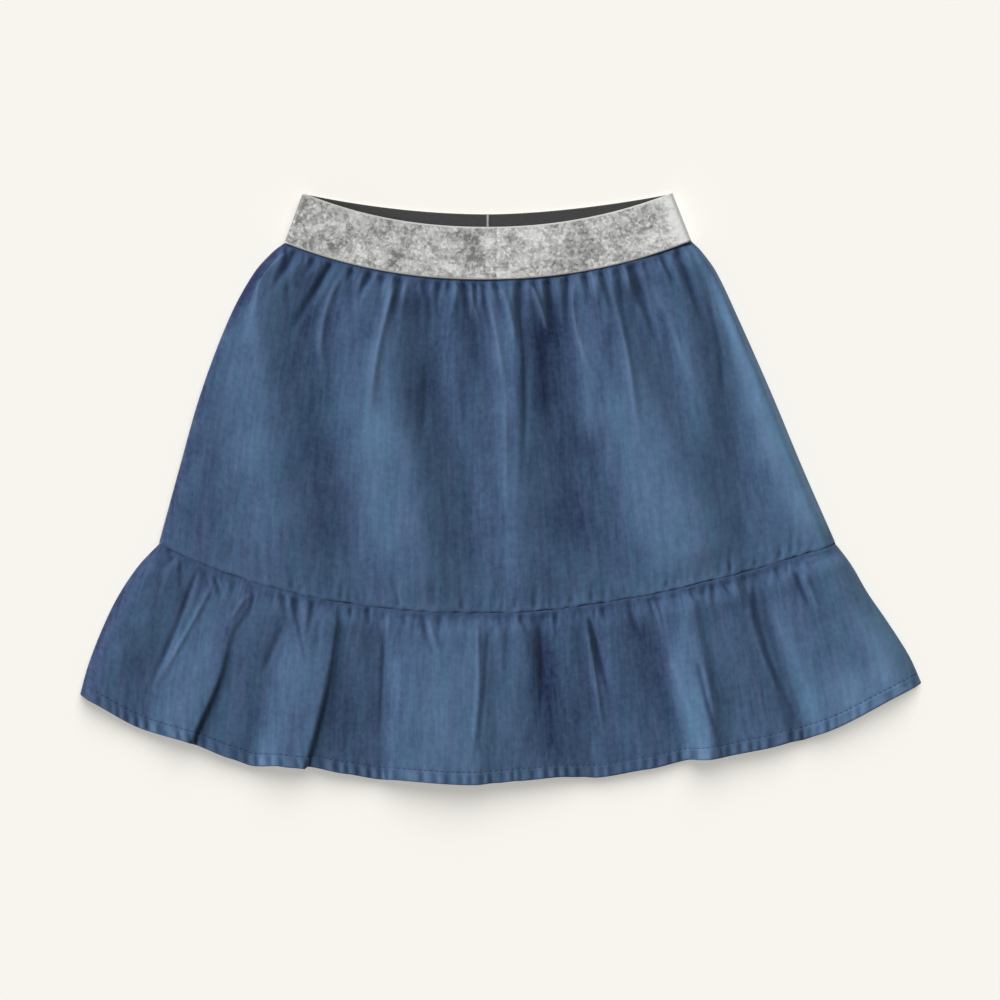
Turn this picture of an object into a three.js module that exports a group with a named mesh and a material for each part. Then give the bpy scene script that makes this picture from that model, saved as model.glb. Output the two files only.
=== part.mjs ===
// A girl's pull-on denim skirt, laid out flat on its back: an elastic glitter waistband, a gathered
// front and back panel, and a gathered ruffle round the hem. Millimetres; X runs across the skirt,
// +Y towards the waist and +Z up off the surface that it lies on.
//
// The skirt is a flattened tube. Its lower half rests on the surface and its upper half stands over
// a shallow hollow, and the two meet at the side folds, where the side seams are.

import * as THREE from "three";

// Driving sizes
const DENIM = 1.2;
const ELASTIC = 1.8;
const HEM_DENIM = 1.9;
const HEM_DEPTH = 6;
const SEAM_GAP = 0.4;
const BAND_TOP = 9.5; // middle of the upper half of the elastic
const SEAM_RISE = 1.2; // how far the ruffle seam stands above the troughs of the folds
const SEAM_REACH = 22; // how far above the ruffle seam the panel's folds flatten out
const PUFF = { rise: 1.4, down: 9, reach: 7 }; // the cloth swells just below a gathered seam
const SIDE_SLOPE = 14; // how soon the folds reach their full height in from a side fold
const SIDE_CURVE = { upper: 8, lower: 40, band: 16 }; // how tightly the cloth turns at a side fold
const GATHER_SPREAD = 0.5; // how much wider a gather is where it ends than at its seam
const PRESSED_SHARE = 0.15; // share of a groove in the lower cloth that the surface presses flat

// Across at a seam or hem: the two ends, the height of each end, how far the middle hangs below
// them, and how full the curve is on either side.
const UPPER_EDGES = {
  bandTop: { left: -119, right: 103.5, yLeft: 178, yRight: 178, sag: 20.3, fullLeft: 2.2, fullRight: 2.1 },
  waist: { left: -130, right: 115, yLeft: 148, yRight: 149, sag: 22.5, fullLeft: 2.3, fullRight: 2.1 },
  ruffleSeam: { left: -205, right: 202, yLeft: -33, yRight: -33, sag: 41.5, fullLeft: 2.4, fullRight: 1.65 },
  hem: { left: -252, right: 252, yLeft: -123.5, yRight: -117, sag: 54, fullLeft: 2.3, fullRight: 2.4 },
};
const LOWER_EDGES = {
  bandTop: { ...UPPER_EDGES.bandTop, sag: 12.8, fullLeft: 1.9, fullRight: 1.9 },
  waist: { ...UPPER_EDGES.waist, sag: 15 },
  ruffleSeam: { ...UPPER_EDGES.ruffleSeam, sag: 34 },
  hem: { ...UPPER_EDGES.hem, sag: 46 },
};

// Outline of each piece down its length. level runs from 0 at the upper seam to 1 at the lower one,
// left and right are the side folds, fold is the height of the side fold's middle, and trough is
// the height of the upper cloth's middle in the troughs of its folds.
const BAND_OUTLINE = [
  { level: 0, left: -119, right: 103.5, fold: 4.4, trough: BAND_TOP },
  { level: 1, left: -130, right: 115, fold: 4.4, trough: BAND_TOP },
];
const PANEL_OUTLINE = [
  { level: 0, left: -130, right: 115, fold: 4.0, trough: 8.5 },
  { level: 0.1, left: -147.5, right: 129.5, fold: 3.84, trough: 8.5 },
  { level: 0.25, left: -162, right: 142, fold: 3.6, trough: 8.5 },
  { level: 0.5, left: -180, right: 163, fold: 3.2, trough: 8.4 },
  { level: 0.75, left: -193, right: 182, fold: 2.8, trough: 8.3 },
  { level: 1, left: -205, right: 202, fold: 2.4, trough: 8.2 },
];
const RUFFLE_OUTLINE = [
  { level: 0, left: -205, right: 202, fold: 2.4, trough: 8.2 },
  { level: 0.15, left: -217, right: 211, fold: 2.49, trough: 8.2 },
  { level: 0.35, left: -228.5, right: 221, fold: 2.61, trough: 8.0 },
  { level: 0.55, left: -237.5, right: 232.5, fold: 2.73, trough: 7.6 },
  { level: 0.8, left: -246.5, right: 245.5, fold: 2.88, trough: 7.1 },
  { level: 1, left: -252, right: 252, fold: 3.0, trough: 6.8 },
];

// Large folds of the upper cloth, from left to right, as ridge and trough lines. x and rise are
// where the line runs and how high it stands at the four levels, lean tips a ridge over, and hang
// is how far the hem hangs down at a line of the ruffle.
const PANEL_LEVELS = [0, 0.15, 0.5, 1];
const PANEL_FOLDS = [
  { x: [-110, -130, -151, -143], rise: [1.5, 3.6, 4.2, 2.0], lean: 0 },
  { x: [-96, -114, -109, -90], rise: [0.8, 0.0, 0.5, 1.0], lean: 0 },
  { x: [-53, -62, -64, -60], rise: [1.8, 3.6, 4.4, 2.2], lean: 0.1 },
  { x: [-41, -41, -32, -18], rise: [0.8, 0.3, 0.6, 1.0], lean: 0 },
  { x: [0, 7, 10, 12], rise: [1.8, 4.2, 4.8, 2.4], lean: 0.35 },
  { x: [29, 37, 50, 64], rise: [0.6, 0.0, 0.2, 0.8], lean: 0 },
  { x: [67, 73, 85, 98], rise: [1.7, 4.0, 4.8, 2.2], lean: 0.1 },
  { x: [79, 90, 102, 123], rise: [0.8, 0.6, 1.4, 1.2], lean: 0 },
  { x: [97, 111, 122, 141], rise: [1.5, 3.4, 3.4, 2.0], lean: 0 },
  { x: [106, 121, 133, 153], rise: [0.9, 0.8, 1.8, 1.4], lean: 0 },
  { x: [111, 128, 153, 185], rise: [0.8, 2.0, 2.8, 1.8], lean: 0 },
];
const RUFFLE_LEVELS = [0, 0.2, 0.6, 1];
const RUFFLE_FOLDS = [
  { x: [-198, -212, -227, -241], rise: [0.8, 3.0, 4.5, 4.5], lean: 0, hang: 0.0 },
  { x: [-182, -187, -199, -209], rise: [0.2, 0.0, 0.5, 1.0], lean: 0, hang: 3.4 },
  { x: [-172, -167, -166, -181], rise: [1.4, 5.0, 8.0, 9.0], lean: 0.6, hang: 0.8 },
  { x: [-165, -159, -158, -171], rise: [0.4, 0.5, 0.0, 0.0], lean: 0, hang: 1.0 },
  { x: [-146, -152, -152, -154], rise: [1.4, 3.2, 3.2, 3.0], lean: 0, hang: 3.4 },
  { x: [-138, -140, -145, -148], rise: [0.4, 0.8, 1.0, 1.5], lean: 0, hang: 3.7 },
  { x: [-98, -100, -107, -116], rise: [2.0, 7.0, 10.0, 11.0], lean: 0.75, hang: -0.5 },
  { x: [-91, -91, -94, -101], rise: [0.5, 2.4, 2.6, 2.6], lean: 0, hang: -2.5 },
  { x: [-70, -68, -70, -73], rise: [0.2, 0.0, 0.0, 0.5], lean: 0, hang: 0.2 },
  { x: [-66, -63.5, -65, -68], rise: [0.8, 2.6, 3.0, 3.0], lean: -0.3, hang: 0.3 },
  { x: [-14, -12, -13, -16], rise: [1.8, 6.5, 8.5, 8.5], lean: 0.3, hang: 1.9 },
  { x: [-6, -4, -5, -6], rise: [0.6, 3.8, 4.8, 5.0], lean: 0, hang: 0.9 },
  { x: [22, 25, 23, 25], rise: [0.2, 0.0, 0.5, 2.0], lean: 0, hang: -1.4 },
  { x: [47, 46, 39, 34], rise: [1.4, 3.8, 3.4, 3.0], lean: 0.2, hang: -1.8 },
  { x: [54, 59, 63, 59], rise: [0.2, 0.0, 0.2, 0.0], lean: 0, hang: -0.7 },
  { x: [68, 73, 84, 90], rise: [1.3, 4.4, 4.6, 4.0], lean: 0, hang: -1.6 },
  { x: [86, 92, 107, 112], rise: [0.4, 0.8, 0.4, 0.0], lean: 0, hang: -3.6 },
  { x: [114, 116, 122, 128], rise: [1.8, 6.5, 9.0, 10.0], lean: 0.45, hang: -2.4 },
  { x: [120, 122, 129, 135], rise: [0.6, 3.6, 4.8, 5.4], lean: 0, hang: -2.3 },
  { x: [154, 155, 165, 180], rise: [0.2, 0.0, 0.0, 0.5], lean: 0, hang: 2.1 },
  { x: [158, 160, 171.5, 187], rise: [0.8, 3.2, 4.0, 4.0], lean: -0.3, hang: 2.2 },
  { x: [172, 177, 189, 202], rise: [1.4, 4.8, 6.0, 6.0], lean: 0, hang: 1.5 },
  { x: [178, 185, 202, 214], rise: [0.3, 1.2, 4.2, 5.4], lean: 0, hang: 1.0 },
  { x: [189, 203, 222, 236], rise: [1.0, 3.6, 5.4, 5.4], lean: 0, hang: -1.7 },
];

// Gathers: short creases that run down from a seam. at is the place on the seam, slant how far the
// crease drifts across over its reach, then its depth and the half width of the crease.
const WAIST_GATHERS = [
  { at: -121, slant: -20, reach: 30, depth: 1.8, width: 3.4 },
  { at: -107, slant: -8, reach: 15, depth: 1.1, width: 2.6 },
  { at: -96, slant: -24, reach: 44, depth: 2.2, width: 3.4 },
  { at: -85, slant: -5, reach: 13, depth: 1.1, width: 2.4 },
  { at: -75, slant: -7, reach: 18, depth: 1.6, width: 2.6 },
  { at: -68, slant: -3, reach: 11, depth: 1.1, width: 2.4 },
  { at: -59, slant: -5, reach: 34, depth: 1.9, width: 2.8 },
  { at: -46, slant: 1, reach: 14, depth: 1.4, width: 2.6 },
  { at: -38, slant: -3, reach: 26, depth: 1.4, width: 2.6 },
  { at: -31, slant: -1, reach: 11, depth: 1.1, width: 2.4 },
  { at: -22, slant: 11, reach: 34, depth: 1.7, width: 2.8 },
  { at: -13, slant: 1, reach: 11, depth: 1.2, width: 2.4 },
  { at: -3, slant: 8, reach: 30, depth: 1.6, width: 2.6 },
  { at: 13, slant: 10, reach: 44, depth: 2.2, width: 3.2 },
  { at: 22, slant: 3, reach: 13, depth: 1.1, width: 2.4 },
  { at: 30, slant: 7, reach: 46, depth: 2.2, width: 3.4 },
  { at: 41, slant: 3, reach: 14, depth: 1.0, width: 2.4 },
  { at: 50, slant: 6, reach: 26, depth: 1.7, width: 2.8 },
  { at: 60, slant: 13, reach: 38, depth: 2.0, width: 3.0 },
  { at: 70, slant: 4, reach: 12, depth: 1.0, width: 2.4 },
  { at: 79, slant: 14, reach: 50, depth: 2.2, width: 3.2 },
  { at: 88, slant: 6, reach: 16, depth: 1.2, width: 2.4 },
  { at: 97, slant: 8, reach: 18, depth: 1.2, width: 2.6 },
  { at: 106, slant: 18, reach: 54, depth: 1.8, width: 3.0 },
];
const RUFFLE_GATHERS = [
  { at: -194, slant: -10, reach: 12, depth: 1.2, width: 2.6 },
  { at: -177, slant: 4, reach: 16, depth: 1.4, width: 2.6 },
  { at: -158, slant: -2, reach: 12, depth: 1.3, width: 2.4 },
  { at: -131, slant: 2, reach: 14, depth: 1.1, width: 2.4 },
  { at: -122, slant: 4, reach: 26, depth: 1.4, width: 2.6 },
  { at: -112, slant: -3, reach: 22, depth: 1.3, width: 2.4 },
  { at: -89, slant: -1, reach: 10, depth: 1.2, width: 2.4 },
  { at: -79, slant: 1, reach: 13, depth: 1.3, width: 2.4 },
  { at: -57, slant: 0, reach: 12, depth: 1.1, width: 2.4 },
  { at: -46, slant: 2, reach: 22, depth: 1.4, width: 2.6 },
  { at: -36, slant: 2, reach: 12, depth: 1.0, width: 2.4 },
  { at: -26, slant: 0, reach: 16, depth: 1.1, width: 2.4 },
  { at: 0, slant: 1, reach: 12, depth: 1.3, width: 2.4 },
  { at: 12, slant: 5, reach: 14, depth: 1.2, width: 2.4 },
  { at: 34, slant: 1, reach: 14, depth: 1.2, width: 2.4 },
  { at: 61, slant: 4, reach: 14, depth: 1.2, width: 2.4 },
  { at: 77, slant: 7, reach: 22, depth: 1.4, width: 2.6 },
  { at: 94, slant: 5, reach: 24, depth: 1.3, width: 2.4 },
  { at: 104, slant: 2, reach: 12, depth: 1.1, width: 2.4 },
  { at: 127, slant: 3, reach: 18, depth: 1.4, width: 2.6 },
  { at: 136, slant: 4, reach: 14, depth: 1.2, width: 2.4 },
  { at: 146, slant: 4, reach: 24, depth: 1.3, width: 2.6 },
  { at: 165, slant: 4, reach: 12, depth: 1.2, width: 2.4 },
  { at: 183, slant: 8, reach: 14, depth: 1.2, width: 2.4 },
  { at: 195, slant: 8, reach: 14, depth: 1.2, width: 2.4 },
];

// The cloth that lies on the surface has the same kinds of fold, pressed flat: it keeps only
// grooves between the parts that touch the surface.
const UNDER_PANEL = {
  gathers: { count: 22, depth: 1.6, width: 3.0, shortest: 14, longest: 46, drift: 0.5 },
  folds: { count: 6, depth: 1.5, width: 9, shortest: 120, longest: 200, drift: 0.55 },
};
const UNDER_RUFFLE = {
  gathers: { count: 26, depth: 1.4, width: 2.8, shortest: 8, longest: 22, drift: 0.2 },
  folds: { count: 13, depth: 2.0, width: 8.5, shortest: 105, longest: 140, drift: 0.24 },
};
const UNEVEN = { place: 0.3, depth: 0.2 }; // shares of the spacing and the depth that vary

// How finely each piece is divided
const PITCH = { panel: 4.0, ruffle: 4.6, underPanel: 8, underRuffle: 8.5 };
const PANEL_ROWS = [0, 0.05, 0.11, 0.19, 0.3, 0.45, 0.62, 0.8, 0.93, 1];
const RUFFLE_ROWS = [0, 0.07, 0.15, 0.28, 0.46, 0.66, 0.84, 0.94, 1];
const UNDER_PANEL_ROWS = [0, 0.07, 0.17, 0.34, 0.58, 0.8, 1];
const UNDER_RUFFLE_ROWS = [0, 0.12, 0.3, 0.54, 0.78, 0.94, 1];
const BAND_COLUMNS = 72;
const BAND_ROWS = [0, 0.5, 1];
const SIDE_COLUMNS = 5;
const SIDE_CROWDING = 1.8; // how much closer the columns stand towards a side fold
const UNDER_CROWDING = 1.25; // the same for the lower cloth
const SLOPE_STEP = 1e-3; // step in columns and levels over which a surface's slope is taken

const { abs, cos, exp, floor, hypot, max, min, PI, pow, round, sign, sin, sqrt } = Math;
const mix = (a, b, t) => a + (b - a) * t;
const clamp = (value) => min(max(value, 0), 1);
const ease = (t) => clamp(t) * clamp(t) * (3 - 2 * clamp(t));

// A value between -1 and 1 that looks irregular from one number to the next.
const uneven = (n) => sin(n * 12.9898 + 4.1) * 0.6 + sin(n * 7.233 + 1.3) * 0.4;

// A smooth curve through the values at the levels.
function through(levels, values, level) {
  const last = levels.length - 1;
  let i = 0;
  while (i < last - 1 && level > levels[i + 1]) i += 1;
  const slope = (a, b) => (values[b] - values[a]) / (levels[b] - levels[a]);
  const span = levels[i + 1] - levels[i];
  const t = clamp((level - levels[i]) / span);
  const start = slope(max(i - 1, 0), i + 1) * span;
  const end = slope(i, min(i + 2, last)) * span;
  const rest = 1 - t;
  return (
    rest * rest * (1 + 2 * t) * values[i] +
    t * rest * rest * start +
    t * t * (3 - 2 * t) * values[i + 1] -
    t * t * rest * end
  );
}

function outlineAt(outline, level) {
  const levels = outline.map((row) => row.level);
  const column = (name) => through(levels, outline.map((row) => row[name]), level);
  const left = column("left") + DENIM / 2;
  const right = column("right") - DENIM / 2;
  return {
    left,
    right,
    middle: (left + right) / 2,
    half: (right - left) / 2,
    fold: column("fold"),
    trough: column("trough"),
  };
}

// Height up the skirt of an edge curve, at a share of the half width from the middle.
function edgeY(edge, share) {
  const full = share < 0 ? edge.fullLeft : edge.fullRight;
  return mix(edge.yLeft, edge.yRight, (share + 1) / 2) - edge.sag * (1 - pow(abs(share), full));
}

// Height of a piece between its side folds: level in the middle, and vertical at the fold itself.
const across = (fold, level, share, curve) => mix(fold, level, sqrt(max(1 - pow(abs(share), curve), 0)));

function gatherDepth(gathers, x, down) {
  let depth = 0;
  for (const gather of gathers) {
    const along = down / gather.reach;
    if (along >= 1) continue;
    const away = (x - gather.at - gather.slant * along) / (gather.width * (1 + GATHER_SPREAD * along));
    depth += gather.depth * (1 - ease(along)) * exp(-away * away);
  }
  return depth;
}

// A piece of the upper cloth, as a function of the column number and the level. Whole numbers of
// the column are fold lines, and 0 and the last are the side folds.
function upperPiece({ outline, upper, lower, levels, folds, gathers, length, lowerSeamHold }) {
  const count = folds.length + 1;
  return (column, level) => {
    const at = outlineAt(outline, level);
    const first = min(floor(column), count - 1);
    const part = column - first;
    let along = part;
    if (first === 0) along = pow(part, SIDE_CROWDING);
    if (first === count - 1) along = 1 - pow(1 - part, SIDE_CROWDING);
    const line = (k) => {
      if (k === 0) return { x: at.left, rise: 0, lean: 0, hang: 0 };
      if (k === count) return { x: at.right, rise: 0, lean: 0, hang: 0 };
      const { x, rise, lean, hang = 0 } = folds[k - 1];
      const height = through(levels, rise, level);
      return { x: through(levels, x, level) - lean * height, rise: height, lean, hang };
    };
    const from = line(first);
    const to = line(first + 1);
    const between = (name) => mix(from[name], to[name], ease(along));
    const plainX = mix(from.x, to.x, along);
    const down = level * length;
    const hold = lowerSeamHold * ease(1 - (1 - level) * length / SEAM_REACH);
    const puff = PUFF.rise * exp(-(((down - PUFF.down) / PUFF.reach) ** 2));
    const sideShare = min(1, (1 - abs((plainX - at.middle) / at.half)) * SIDE_SLOPE);
    const height = mix(between("rise"), SEAM_RISE, hold) + puff - gatherDepth(gathers, plainX, down);
    const rise = max(height * sideShare, 0);
    const x = plainX + between("lean") * rise;
    const share = min(max((x - at.middle) / at.half, -1), 1);
    const y = mix(edgeY(upper, share), edgeY(lower, share), level) - between("hang") * level * level;
    return [x, y, across(at.fold + SEAM_GAP / 2, at.trough, share, SIDE_CURVE.upper) + rise];
  };
}

// The creases of the lower cloth: a loop places them unevenly across the seam and lets them fan out.
function pressedGrooves({ gathers, folds }, width) {
  const grooves = [];
  for (const kind of [gathers, folds]) {
    for (let n = 0; n < kind.count; n += 1) {
      const place = n + 0.5 + UNEVEN.place * uneven(n);
      const at = width * (place / kind.count - 0.5);
      const reach = mix(kind.shortest, kind.longest, 0.5 + 0.5 * uneven(n + kind.count));
      const depth = kind.depth * (1 - UNEVEN.depth + UNEVEN.depth * uneven(n + 2 * kind.count));
      const slant = (at * kind.drift * reach) / kind.longest;
      grooves.push({ at, slant, reach, depth, width: kind.width });
    }
  }
  return grooves;
}

function lowerPiece({ outline, upper, lower, pressed, length }) {
  const middle = (upper.left + upper.right) / 2;
  const grooves = pressedGrooves(pressed, upper.right - upper.left);
  const deepest = max(...grooves.map((groove) => groove.depth));
  return (column, level) => {
    const at = outlineAt(outline, level);
    const share = sign(column) * (1 - pow(1 - abs(column), UNDER_CROWDING));
    const x = at.middle + at.half * share;
    const depth = min(gatherDepth(grooves, x - middle, level * length), deepest);
    const sideShare = clamp((1 - abs(share)) * SIDE_SLOPE);
    const groove = max(mix(-PRESSED_SHARE * deepest, deepest, depth / deepest), 0) * sideShare;
    const y = mix(edgeY(upper, share), edgeY(lower, share), level);
    return [x, y, across(at.fold - SEAM_GAP / 2, DENIM / 2, share, SIDE_CURVE.lower) + groove];
  };
}

// The elastic band is one closed loop: the first half of a turn is its upper half, from left to right.
function bandLoop(turn, level) {
  const at = outlineAt(BAND_OUTLINE, level);
  const isUpper = turn < 0.5;
  const angle = (isUpper ? turn : 1 - turn) * 2 * PI;
  const share = -cos(angle);
  const edges = isUpper ? UPPER_EDGES : LOWER_EDGES;
  const y = mix(edgeY(edges.bandTop, share), edgeY(edges.waist, share), level);
  const middleZ = isUpper ? at.trough : ELASTIC / 2;
  const curve = isUpper ? SIDE_CURVE.upper : SIDE_CURVE.band;
  return [at.middle + at.half * share, y, across(at.fold, middleZ, share, curve)];
}

// A closed wall of the given thickness on both sides of a surface. Its ends at a seam stand square.
function clothWall(surface, columns, rows, thickness, isLoop) {
  const lastRow = rows.length - 1;
  const count = columns.length;
  const positions = [];
  const difference = (a, b) => a.map((value, axis) => value - b[axis]);
  const within = (column) => min(max(column, columns[0]), columns[count - 1]);
  const reachable = (column) => (isLoop ? (column + 1) % 1 : within(column));
  rows.forEach((level, row) => {
    for (const column of columns) {
      const sideways = difference(
        surface(reachable(column + SLOPE_STEP), level),
        surface(reachable(column - SLOPE_STEP), level),
      );
      const down = difference(
        surface(column, min(level + SLOPE_STEP, 1)),
        surface(column, max(level - SLOPE_STEP, 0)),
      );
      const normal = [
        down[1] * sideways[2] - down[2] * sideways[1],
        down[2] * sideways[0] - down[0] * sideways[2],
        down[0] * sideways[1] - down[1] * sideways[0],
      ];
      if (row === 0 || row === lastRow) normal[1] = 0;
      if (!isLoop && (column === columns[0] || column === columns[count - 1])) normal[2] = 0;
      const size = hypot(...normal);
      const point = surface(column, level);
      for (const side of [0.5, -0.5]) {
        point.forEach((value, axis) => {
          positions.push(value + (side * thickness(level) * normal[axis]) / size);
        });
      }
    }
  });
  const outer = (row, column) => 2 * (row * count + (column % count));
  const inner = (row, column) => outer(row, column) + 1;
  const faces = [];
  const quad = (a, b, c, d) => faces.push(a, b, c, a, c, d);
  const spans = isLoop ? count : count - 1;
  for (let column = 0; column < spans; column += 1) {
    for (let row = 0; row < lastRow; row += 1) {
      quad(outer(row, column), outer(row + 1, column), outer(row + 1, column + 1), outer(row, column + 1));
      quad(inner(row, column), inner(row, column + 1), inner(row + 1, column + 1), inner(row + 1, column));
    }
    quad(outer(0, column), outer(0, column + 1), inner(0, column + 1), inner(0, column));
    quad(
      outer(lastRow, column),
      inner(lastRow, column),
      inner(lastRow, column + 1),
      outer(lastRow, column + 1),
    );
  }
  for (let row = 0; row < lastRow && !isLoop; row += 1) {
    quad(outer(row, 0), inner(row, 0), inner(row + 1, 0), outer(row + 1, 0));
    quad(
      outer(row, count - 1),
      outer(row + 1, count - 1),
      inner(row + 1, count - 1),
      inner(row, count - 1),
    );
  }
  const geometry = new THREE.BufferGeometry();
  geometry.setAttribute("position", new THREE.Float32BufferAttribute(positions, 3));
  geometry.setIndex(faces);
  geometry.computeVertexNormals();
  return geometry;
}

// Columns that stand on every fold line, with enough between them for the pitch.
function foldColumns(folds, pitch) {
  const columns = [];
  for (let k = 0; k <= folds.length; k += 1) {
    const isSide = k === 0 || k === folds.length;
    const widest = isSide ? 0 : max(...folds[k].x.map((x, i) => x - folds[k - 1].x[i]));
    const steps = isSide ? SIDE_COLUMNS : max(2, round(widest / pitch));
    for (let n = 0; n < steps; n += 1) columns.push(k + n / steps);
  }
  return [...columns, folds.length + 1];
}

function evenColumns(width, pitch) {
  const steps = 2 * round(width / pitch / 2);
  return Array.from({ length: steps + 1 }, (_, n) => (2 * n) / steps - 1);
}

// An edge moved along Y, so that two pieces leave the seam gap between them.
const shifted = (edge, dy) => ({ ...edge, yLeft: edge.yLeft + dy, yRight: edge.yRight + dy });

const plain = (thickness) => () => thickness;
const hemmed = (length) => (level) => ((1 - level) * length < HEM_DEPTH ? HEM_DENIM : DENIM);

function frontPanel() {
  const length = UPPER_EDGES.waist.yLeft - UPPER_EDGES.ruffleSeam.yLeft;
  const surface = upperPiece({
    outline: PANEL_OUTLINE,
    upper: shifted(UPPER_EDGES.waist, -SEAM_GAP / 2),
    lower: shifted(UPPER_EDGES.ruffleSeam, SEAM_GAP / 2),
    levels: PANEL_LEVELS,
    folds: PANEL_FOLDS,
    gathers: WAIST_GATHERS,
    length,
    lowerSeamHold: 1,
  });
  return clothWall(surface, foldColumns(PANEL_FOLDS, PITCH.panel), PANEL_ROWS, plain(DENIM), false);
}

function frontRuffle() {
  const length = UPPER_EDGES.ruffleSeam.yLeft - UPPER_EDGES.hem.yLeft;
  const surface = upperPiece({
    outline: RUFFLE_OUTLINE,
    upper: shifted(UPPER_EDGES.ruffleSeam, -SEAM_GAP / 2),
    lower: UPPER_EDGES.hem,
    levels: RUFFLE_LEVELS,
    folds: RUFFLE_FOLDS,
    gathers: RUFFLE_GATHERS,
    length,
    lowerSeamHold: 0,
  });
  const columns = foldColumns(RUFFLE_FOLDS, PITCH.ruffle);
  return clothWall(surface, columns, RUFFLE_ROWS, hemmed(length), false);
}

// The lower pieces face down, so their columns run the other way round.
function underPiece(piece, pitch, rows, thickness) {
  const surface = lowerPiece(piece);
  const turned = (column, level) => surface(-column, level);
  return clothWall(turned, evenColumns(piece.lower.right - piece.lower.left, pitch), rows, thickness, false);
}

function backPanel() {
  const piece = {
    outline: PANEL_OUTLINE,
    upper: shifted(LOWER_EDGES.waist, -SEAM_GAP / 2),
    lower: shifted(LOWER_EDGES.ruffleSeam, SEAM_GAP / 2),
    pressed: UNDER_PANEL,
    length: LOWER_EDGES.waist.yLeft - LOWER_EDGES.ruffleSeam.yLeft,
  };
  return underPiece(piece, PITCH.underPanel, UNDER_PANEL_ROWS, plain(DENIM));
}

function backRuffle() {
  const length = LOWER_EDGES.ruffleSeam.yLeft - LOWER_EDGES.hem.yLeft;
  const piece = {
    outline: RUFFLE_OUTLINE,
    upper: shifted(LOWER_EDGES.ruffleSeam, -SEAM_GAP / 2),
    lower: LOWER_EDGES.hem,
    pressed: UNDER_RUFFLE,
    length,
  };
  return underPiece(piece, PITCH.underRuffle, UNDER_RUFFLE_ROWS, plain(DENIM));
}

function waistband() {
  const columns = Array.from({ length: BAND_COLUMNS }, (_, n) => n / BAND_COLUMNS);
  const raised = (turn, level) => {
    const [x, y, z] = bandLoop(turn, level);
    return [x, y + (SEAM_GAP / 2) * level, z];
  };
  return clothWall(raised, columns, BAND_ROWS, plain(ELASTIC), true);
}

const denim = new THREE.MeshStandardMaterial({ color: 0x41597a, roughness: 0.9, metalness: 0 });
const glitter = new THREE.MeshStandardMaterial({ color: 0xb3b3b1, roughness: 0.4, metalness: 0.6 });

const skirt = new THREE.Group();
const pieces = [
  { name: "waistband", geometry: waistband(), material: glitter },
  { name: "front_panel", geometry: frontPanel(), material: denim },
  { name: "back_panel", geometry: backPanel(), material: denim },
  { name: "front_ruffle", geometry: frontRuffle(), material: denim },
  { name: "back_ruffle", geometry: backRuffle(), material: denim },
];
for (const { name, geometry, material } of pieces) {
  const mesh = new THREE.Mesh(geometry, material);
  mesh.name = name;
  skirt.add(mesh);
}

// The origin is on the surface, under the middle of the skirt's box.
const box = new THREE.Box3().setFromObject(skirt);
const centre = box.getCenter(new THREE.Vector3());
skirt.position.set(-centre.x, -centre.y, -box.min.z);

export default skirt;
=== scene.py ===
"""Looks of a girl's denim skirt, laid flat: denim panels and ruffles, glitter elastic and stage."""

import math

import bpy
import numpy as np
from mathutils import Matrix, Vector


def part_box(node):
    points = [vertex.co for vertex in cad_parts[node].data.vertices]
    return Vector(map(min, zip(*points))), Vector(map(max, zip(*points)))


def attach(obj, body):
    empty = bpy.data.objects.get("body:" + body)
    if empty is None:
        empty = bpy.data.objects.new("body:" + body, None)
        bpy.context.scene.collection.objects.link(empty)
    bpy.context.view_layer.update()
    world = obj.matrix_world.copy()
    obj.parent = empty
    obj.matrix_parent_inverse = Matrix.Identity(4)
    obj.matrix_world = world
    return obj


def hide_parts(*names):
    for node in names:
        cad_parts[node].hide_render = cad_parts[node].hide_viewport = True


bl_info = {
    "name": "Denim Skirt",
    "version": (1, 0, 0),
    "blender": (4, 5, 0),
    "location": "View3D > Sidebar > Skirt",
    "description": "Builds a flat-laid denim skirt with a gathered ruffle and a glitter waistband",
    "category": "Object",
}

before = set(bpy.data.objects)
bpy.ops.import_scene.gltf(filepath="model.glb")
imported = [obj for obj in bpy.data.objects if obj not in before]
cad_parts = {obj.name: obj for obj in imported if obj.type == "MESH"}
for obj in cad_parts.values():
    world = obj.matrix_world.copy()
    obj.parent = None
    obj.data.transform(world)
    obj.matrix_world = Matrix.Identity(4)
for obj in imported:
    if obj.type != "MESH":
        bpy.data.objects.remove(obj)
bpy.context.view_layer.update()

MM = 0.001

# The outlines below are drawn from a zero of their own, which is moved to its place in the frame.
BAND_TOP_Y = 178
DRAWN_ZERO_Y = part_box("waistband")[1].y - BAND_TOP_Y * MM

# The curves across at a seam or hem, in millimetres: the two ends, the height of each end, how far
# the middle hangs below them, and how full the curve is on either side.
EDGE_COLUMNS = ("left", "right", "y_left", "y_right", "sag", "full_left", "full_right")
EDGE_ROWS = {
    "band_top": (-119, 103.5, BAND_TOP_Y, BAND_TOP_Y, 20.3, 2.2, 2.1),
    "waist": (-130, 115, 148, 149, 22.5, 2.15, 2.1),
    "seam": (-205.8, 202, -33, -33, 41.5, 2.4, 1.65),
    "hem": (-253, 253.4, -123.5, -116.5, 54.6, 2.5, 2.5),
}
EDGES = {name: dict(zip(EDGE_COLUMNS, row)) for name, row in EDGE_ROWS.items()}
UNDER_EDGES = {
    "band_top": dict(EDGES["band_top"], sag=12.1, full_left=1.9, full_right=1.7),
    "waist": dict(EDGES["waist"], sag=15),
    "seam": dict(EDGES["seam"], sag=34),
    "hem": dict(EDGES["hem"], sag=46),
}

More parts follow.
